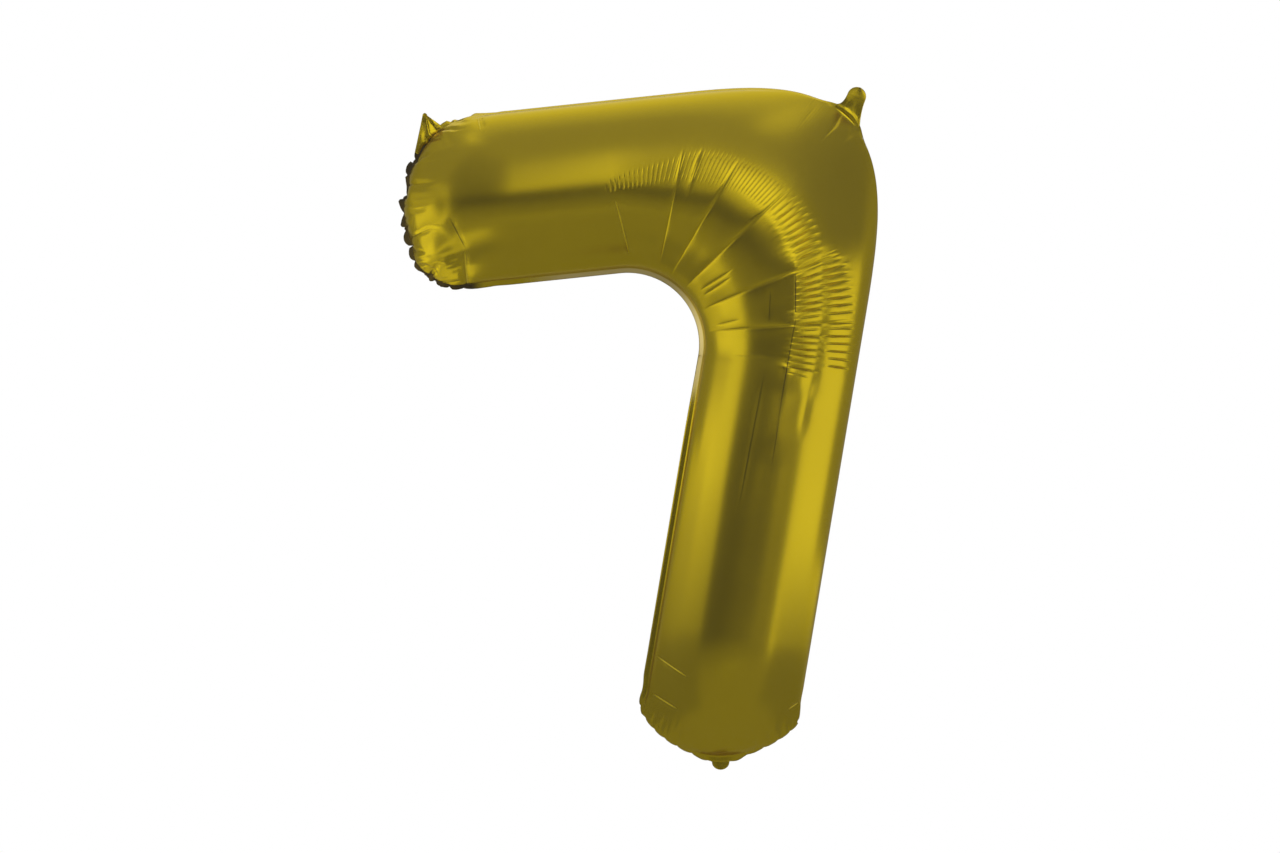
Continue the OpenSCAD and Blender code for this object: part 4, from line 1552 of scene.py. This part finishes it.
@dataclass
class Studio:
    """Camera, lamps, floor, boards and pale surround, in metres from the balloon's middle."""

    figure: Figure
    flags: tuple[Flag, ...] = (
        Flag("front_board", (0.0, 0.09), (-52.0, 24.0), (-0.6, 0.42)),
        Flag("front_right_board", (0.16, 0.3), (24.0, 50.0), (-0.6, 0.0)),
        Flag("front_foot_board", (0.3, 0.2), (-52.0, 50.0), (-4.0, -0.6)),
        Flag("key_left_board", (0.18, 0.34), (-52.0, -9.0), (0.42, 9.0)),
        Flag("key_middle_board", (0.85, 0.95), (-3.5, 3.0), (0.42, 3.4)),
        Flag("key_fade_board", (0.8, 0.4), (-9.0, -3.5), (0.42, 1.4)),
        Flag("key_fade_top_board", (0.4, 0.38), (-9.0, -3.5), (1.4, 3.4)),
        Flag("key_low_board", (0.08, 0.3), (3.0, 20.0), (0.42, 0.75)),
        Flag("key_top_board", (0.38, 0.34), (-9.0, 0.0), (3.4, 9.0)),
        Flag("arc_softbox", (1.3, 1.3), (3.0, 36.0), (0.75, 3.7)),
        Flag("arc_top_board", (0.38, 0.34), (0.0, 28.0), (4.4, 9.0)),
        Flag("arc_side_board", (0.38, 0.34), (28.0, 36.0), (3.7, 9.0)),
        Flag("arc_end_board", (0.36, 0.34), (36.0, 44.0), (2.4, 9.0)),
        Flag("arc_low_board", (0.3, 0.3), (36.0, 44.0), (0.0, 0.3)),
        Flag("key_right_board", (0.36, 0.34), (44.0, 50.0), (0.0, 9.0)),
        Flag("left_top_board", (0.32, 0.34), (-108.0, -52.0), (1.35, 9.0)),
        Flag("left_low_board", (0.34, 0.34), (-108.0, -52.0), (-4.0, -1.6)),
        Flag("right_top_board", (0.18, 0.3), (50.0, 108.0), (0.4, 9.0)),
        Flag("right_low_board", (0.34, 0.34), (50.0, 108.0), (-4.0, -1.6)),
        Flag("back_board", (0.3, 0.3), (108.0, 252.0), (-4.0, 2.2)),
        Flag("back_left_board", (0.34, 0.44), (205.0, 252.0), (2.2, 9.0)),
        Flag("back_right_board", (0.34, 0.44), (108.0, 150.0), (2.2, 9.0)),
        Flag("tip_card", (1.1, 1.1), (-112.0, -70.0), (-0.16, 0.12), 0.5),
        Flag("tip_flag", (0.5, 0.5), (-110.0, -72.0), (0.19, 0.45), 0.72),
        Flag("tip_side_flag", (0.5, 0.5), (-72.0, -60.0), (0.26, 0.45), 0.72),
        Flag("foot_left_flag", (0.2, 0.2), (-140.0, -36.0), (-0.8, -0.26), 0.45),
        Flag("foot_left_fade", (0.2, 0.85), (-85.0, -36.0), (-0.26, 0.0), 0.45),
        Flag("foot_left_side", (0.26, 0.75), (-140.0, -85.0), (-0.26, 0.05), 0.45),
        Flag("foot_right_flag", (0.22, 0.22), (58.0, 130.0), (-0.9, -0.42), 0.72),
        Flag("foot_right_fade", (0.22, 0.95), (58.0, 130.0), (-0.42, -0.26), 0.72),
    )
    softboxes: tuple[Softbox, ...] = (
        Softbox("overhead_softbox", (0.0, -1.0, 2.4), (2.0, 2.0), 30.0),
        Softbox("left_softbox", (-3.0, -0.3, -0.6), (1.6, 2.4), 7.0),
        Softbox("right_softbox", (3.0, -0.5, -0.3), (1.8, 2.0), 7.0),
        Softbox("key_softbox", (0.8, -3.6, 0.85), (2.4, 0.6), 5.0),
    )
    sheets: tuple[Sheet, ...] = (
        Sheet("ceiling_board", (0.0, 0.0, 3.4), (1.4, 3.2), (0.33, 0.9)),
        Sheet("tip_low_card", (-0.31, 0.07, -0.02), (0.07, 0.07), (0.8, 0.8)),
        Sheet("ground_board", (0.0, 0.0, -1.19), (2.4, 2.4), (0.28, 0.28)),
    )
    # Light of the surround on matt surfaces. Then the floor: paint, radius, drop and where its rim fades.
    room_grey: float = 0.6
    floor_colour: str = "#f4f4f2"
    floor_roughness: float = 0.8
    floor_r: float = 2.9
    floor_drop: float = 1.2
    floor_fade: float = 0.75

    def build(self) -> None:
        """Set up the studio."""
        scene = bpy.context.scene
        scene.view_settings.view_transform = "Standard"
        middle = self.figure.centre() + METRES_PER_PX * np.array(
            [PHOTO_SIZE_PX[0] / 2 - BEND_CENTRE_PX[0], 0.0, BEND_CENTRE_PX[1] - PHOTO_SIZE_PX[1] / 2])
        lens = bpy.data.cameras.new("camera")
        lens.sensor_width = SENSOR_WIDTH_MM
        lens.lens = SENSOR_WIDTH_MM * CAMERA_DISTANCE / (PHOTO_SIZE_PX[0] * METRES_PER_PX)
        camera = bpy.data.objects.new("camera", lens)
        camera.location = middle - CAMERA_DISTANCE * BACKWARDS
        camera.rotation_euler = (np.pi / 2, 0.0, 0.0)
        scene.collection.objects.link(camera)
        scene.camera = camera
        self.surround(scene)
        for item in self.flags + self.softboxes + self.sheets:
            item.build(middle)
        self.floor(middle)

    def surround(self, scene: bpy.types.Scene) -> None:
        """Give a white background, seen straight on, mirrored and through clear film, and softer light."""
        world = bpy.data.worlds.new("studio")
        scene.world = world
        world.use_nodes = True
        tree = world.node_tree
        tree.nodes.clear()
        path = add_node(tree, "ShaderNodeLightPath").outputs
        seen = path["Is Camera Ray"]
        for ray in ("Is Glossy Ray", "Is Transmission Ray"):
            seen = add_node(tree, "ShaderNodeMath", {"operation": "MAXIMUM"},
                            links={0: seen, 1: path[ray]}).outputs[0]
        grey = (self.room_grey, self.room_grey, self.room_grey, 1.0)
        room, white = (add_node(tree, "ShaderNodeBackground", values={"Color": colour, "Strength": 1.0})
                       for colour in (grey, WHITE))
        mixed = add_node(tree, "ShaderNodeMixShader",
                         links={0: seen, 1: room.outputs[0], 2: white.outputs[0]})
        add_node(tree, "ShaderNodeOutputWorld", links={0: mixed.outputs[0]})

    def floor(self, middle: np.ndarray) -> None:
        """Lay a pale round floor well below the hanging balloon, whose rim fades into the white surround."""
        place = np.array([middle[0], 0.0, middle[2] - self.floor_drop])
        points = place + self.floor_r * np.array([[[-1, -1, 0], [-1, 1, 0]], [[1, -1, 0], [1, 1, 0]]])
        made, tree = new_material("painted_floor_white")
        shader = tree.nodes["Principled BSDF"]
        shader.inputs["Base Color"].default_value = hex_to_linear(self.floor_colour)
        shader.inputs["Roughness"].default_value = self.floor_roughness
        where = add_node(tree, "ShaderNodeTexCoord").outputs["Object"]
        beyond = add_node(tree, "ShaderNodeVectorMath", {"operation": "DISTANCE"}, {1: tuple(place)},
                          {0: where}).outputs["Value"]
        there = add_node(tree, "ShaderNodeMapRange",
                         values={"From Min": self.floor_fade * self.floor_r, "From Max": self.floor_r,
                                 "To Min": 1.0, "To Max": 0.0},
                         links={"Value": beyond}).outputs["Result"]
        tree.links.new(there, shader.inputs["Alpha"])
        mesh_piece("floor", points, grid_quads(numbered(points)), made)


def main() -> None:
    """Build the balloon and its studio."""
    logging.basicConfig(level=logging.INFO, format="%(name)s: %(message)s")
    figure = Figure()
    Studio(figure).build()
    gold = GoldFilm().material()
    sealant = ClearFilm("polyethylene_sealant_fused").material()
    valve = ClearFilm("polyethylene_film_blown").material()
    flange = Envelope(figure, SpareFilm(), SeamStrip(figure)).build(gold, sealant)
    HangTab("right_ear", "right_tab_fold", "right_tab", "right_hang_tab", lean=68.0, length=34 * MM,
            tip_r=12 * MM, root_w=42 * MM, waist=0.7, crumple=0.7 * MM, curl=3.0 * MM).build(flange, gold)
    HangTab("left_ear", "left_tab_fold", "left_tab", "left_hang_tab", lean=92.0, length=28.5 * MM,
            tip_r=3 * MM, root_w=54 * MM, waist=0.0, crumple=0.8 * MM, curl=4.0 * MM).build(flange, gold)
    FillingTail().build(figure, gold)
    for node, made in (("valve_front_ply", valve), ("valve_back_ply", valve), ("valve_edge_welds", sealant)):
        frame["nodes"][node].data.materials.clear()
        frame["nodes"][node].data.materials.append(made)
        LOG.info("%s: dressed", node)


if __name__ == "__main__":
    main()
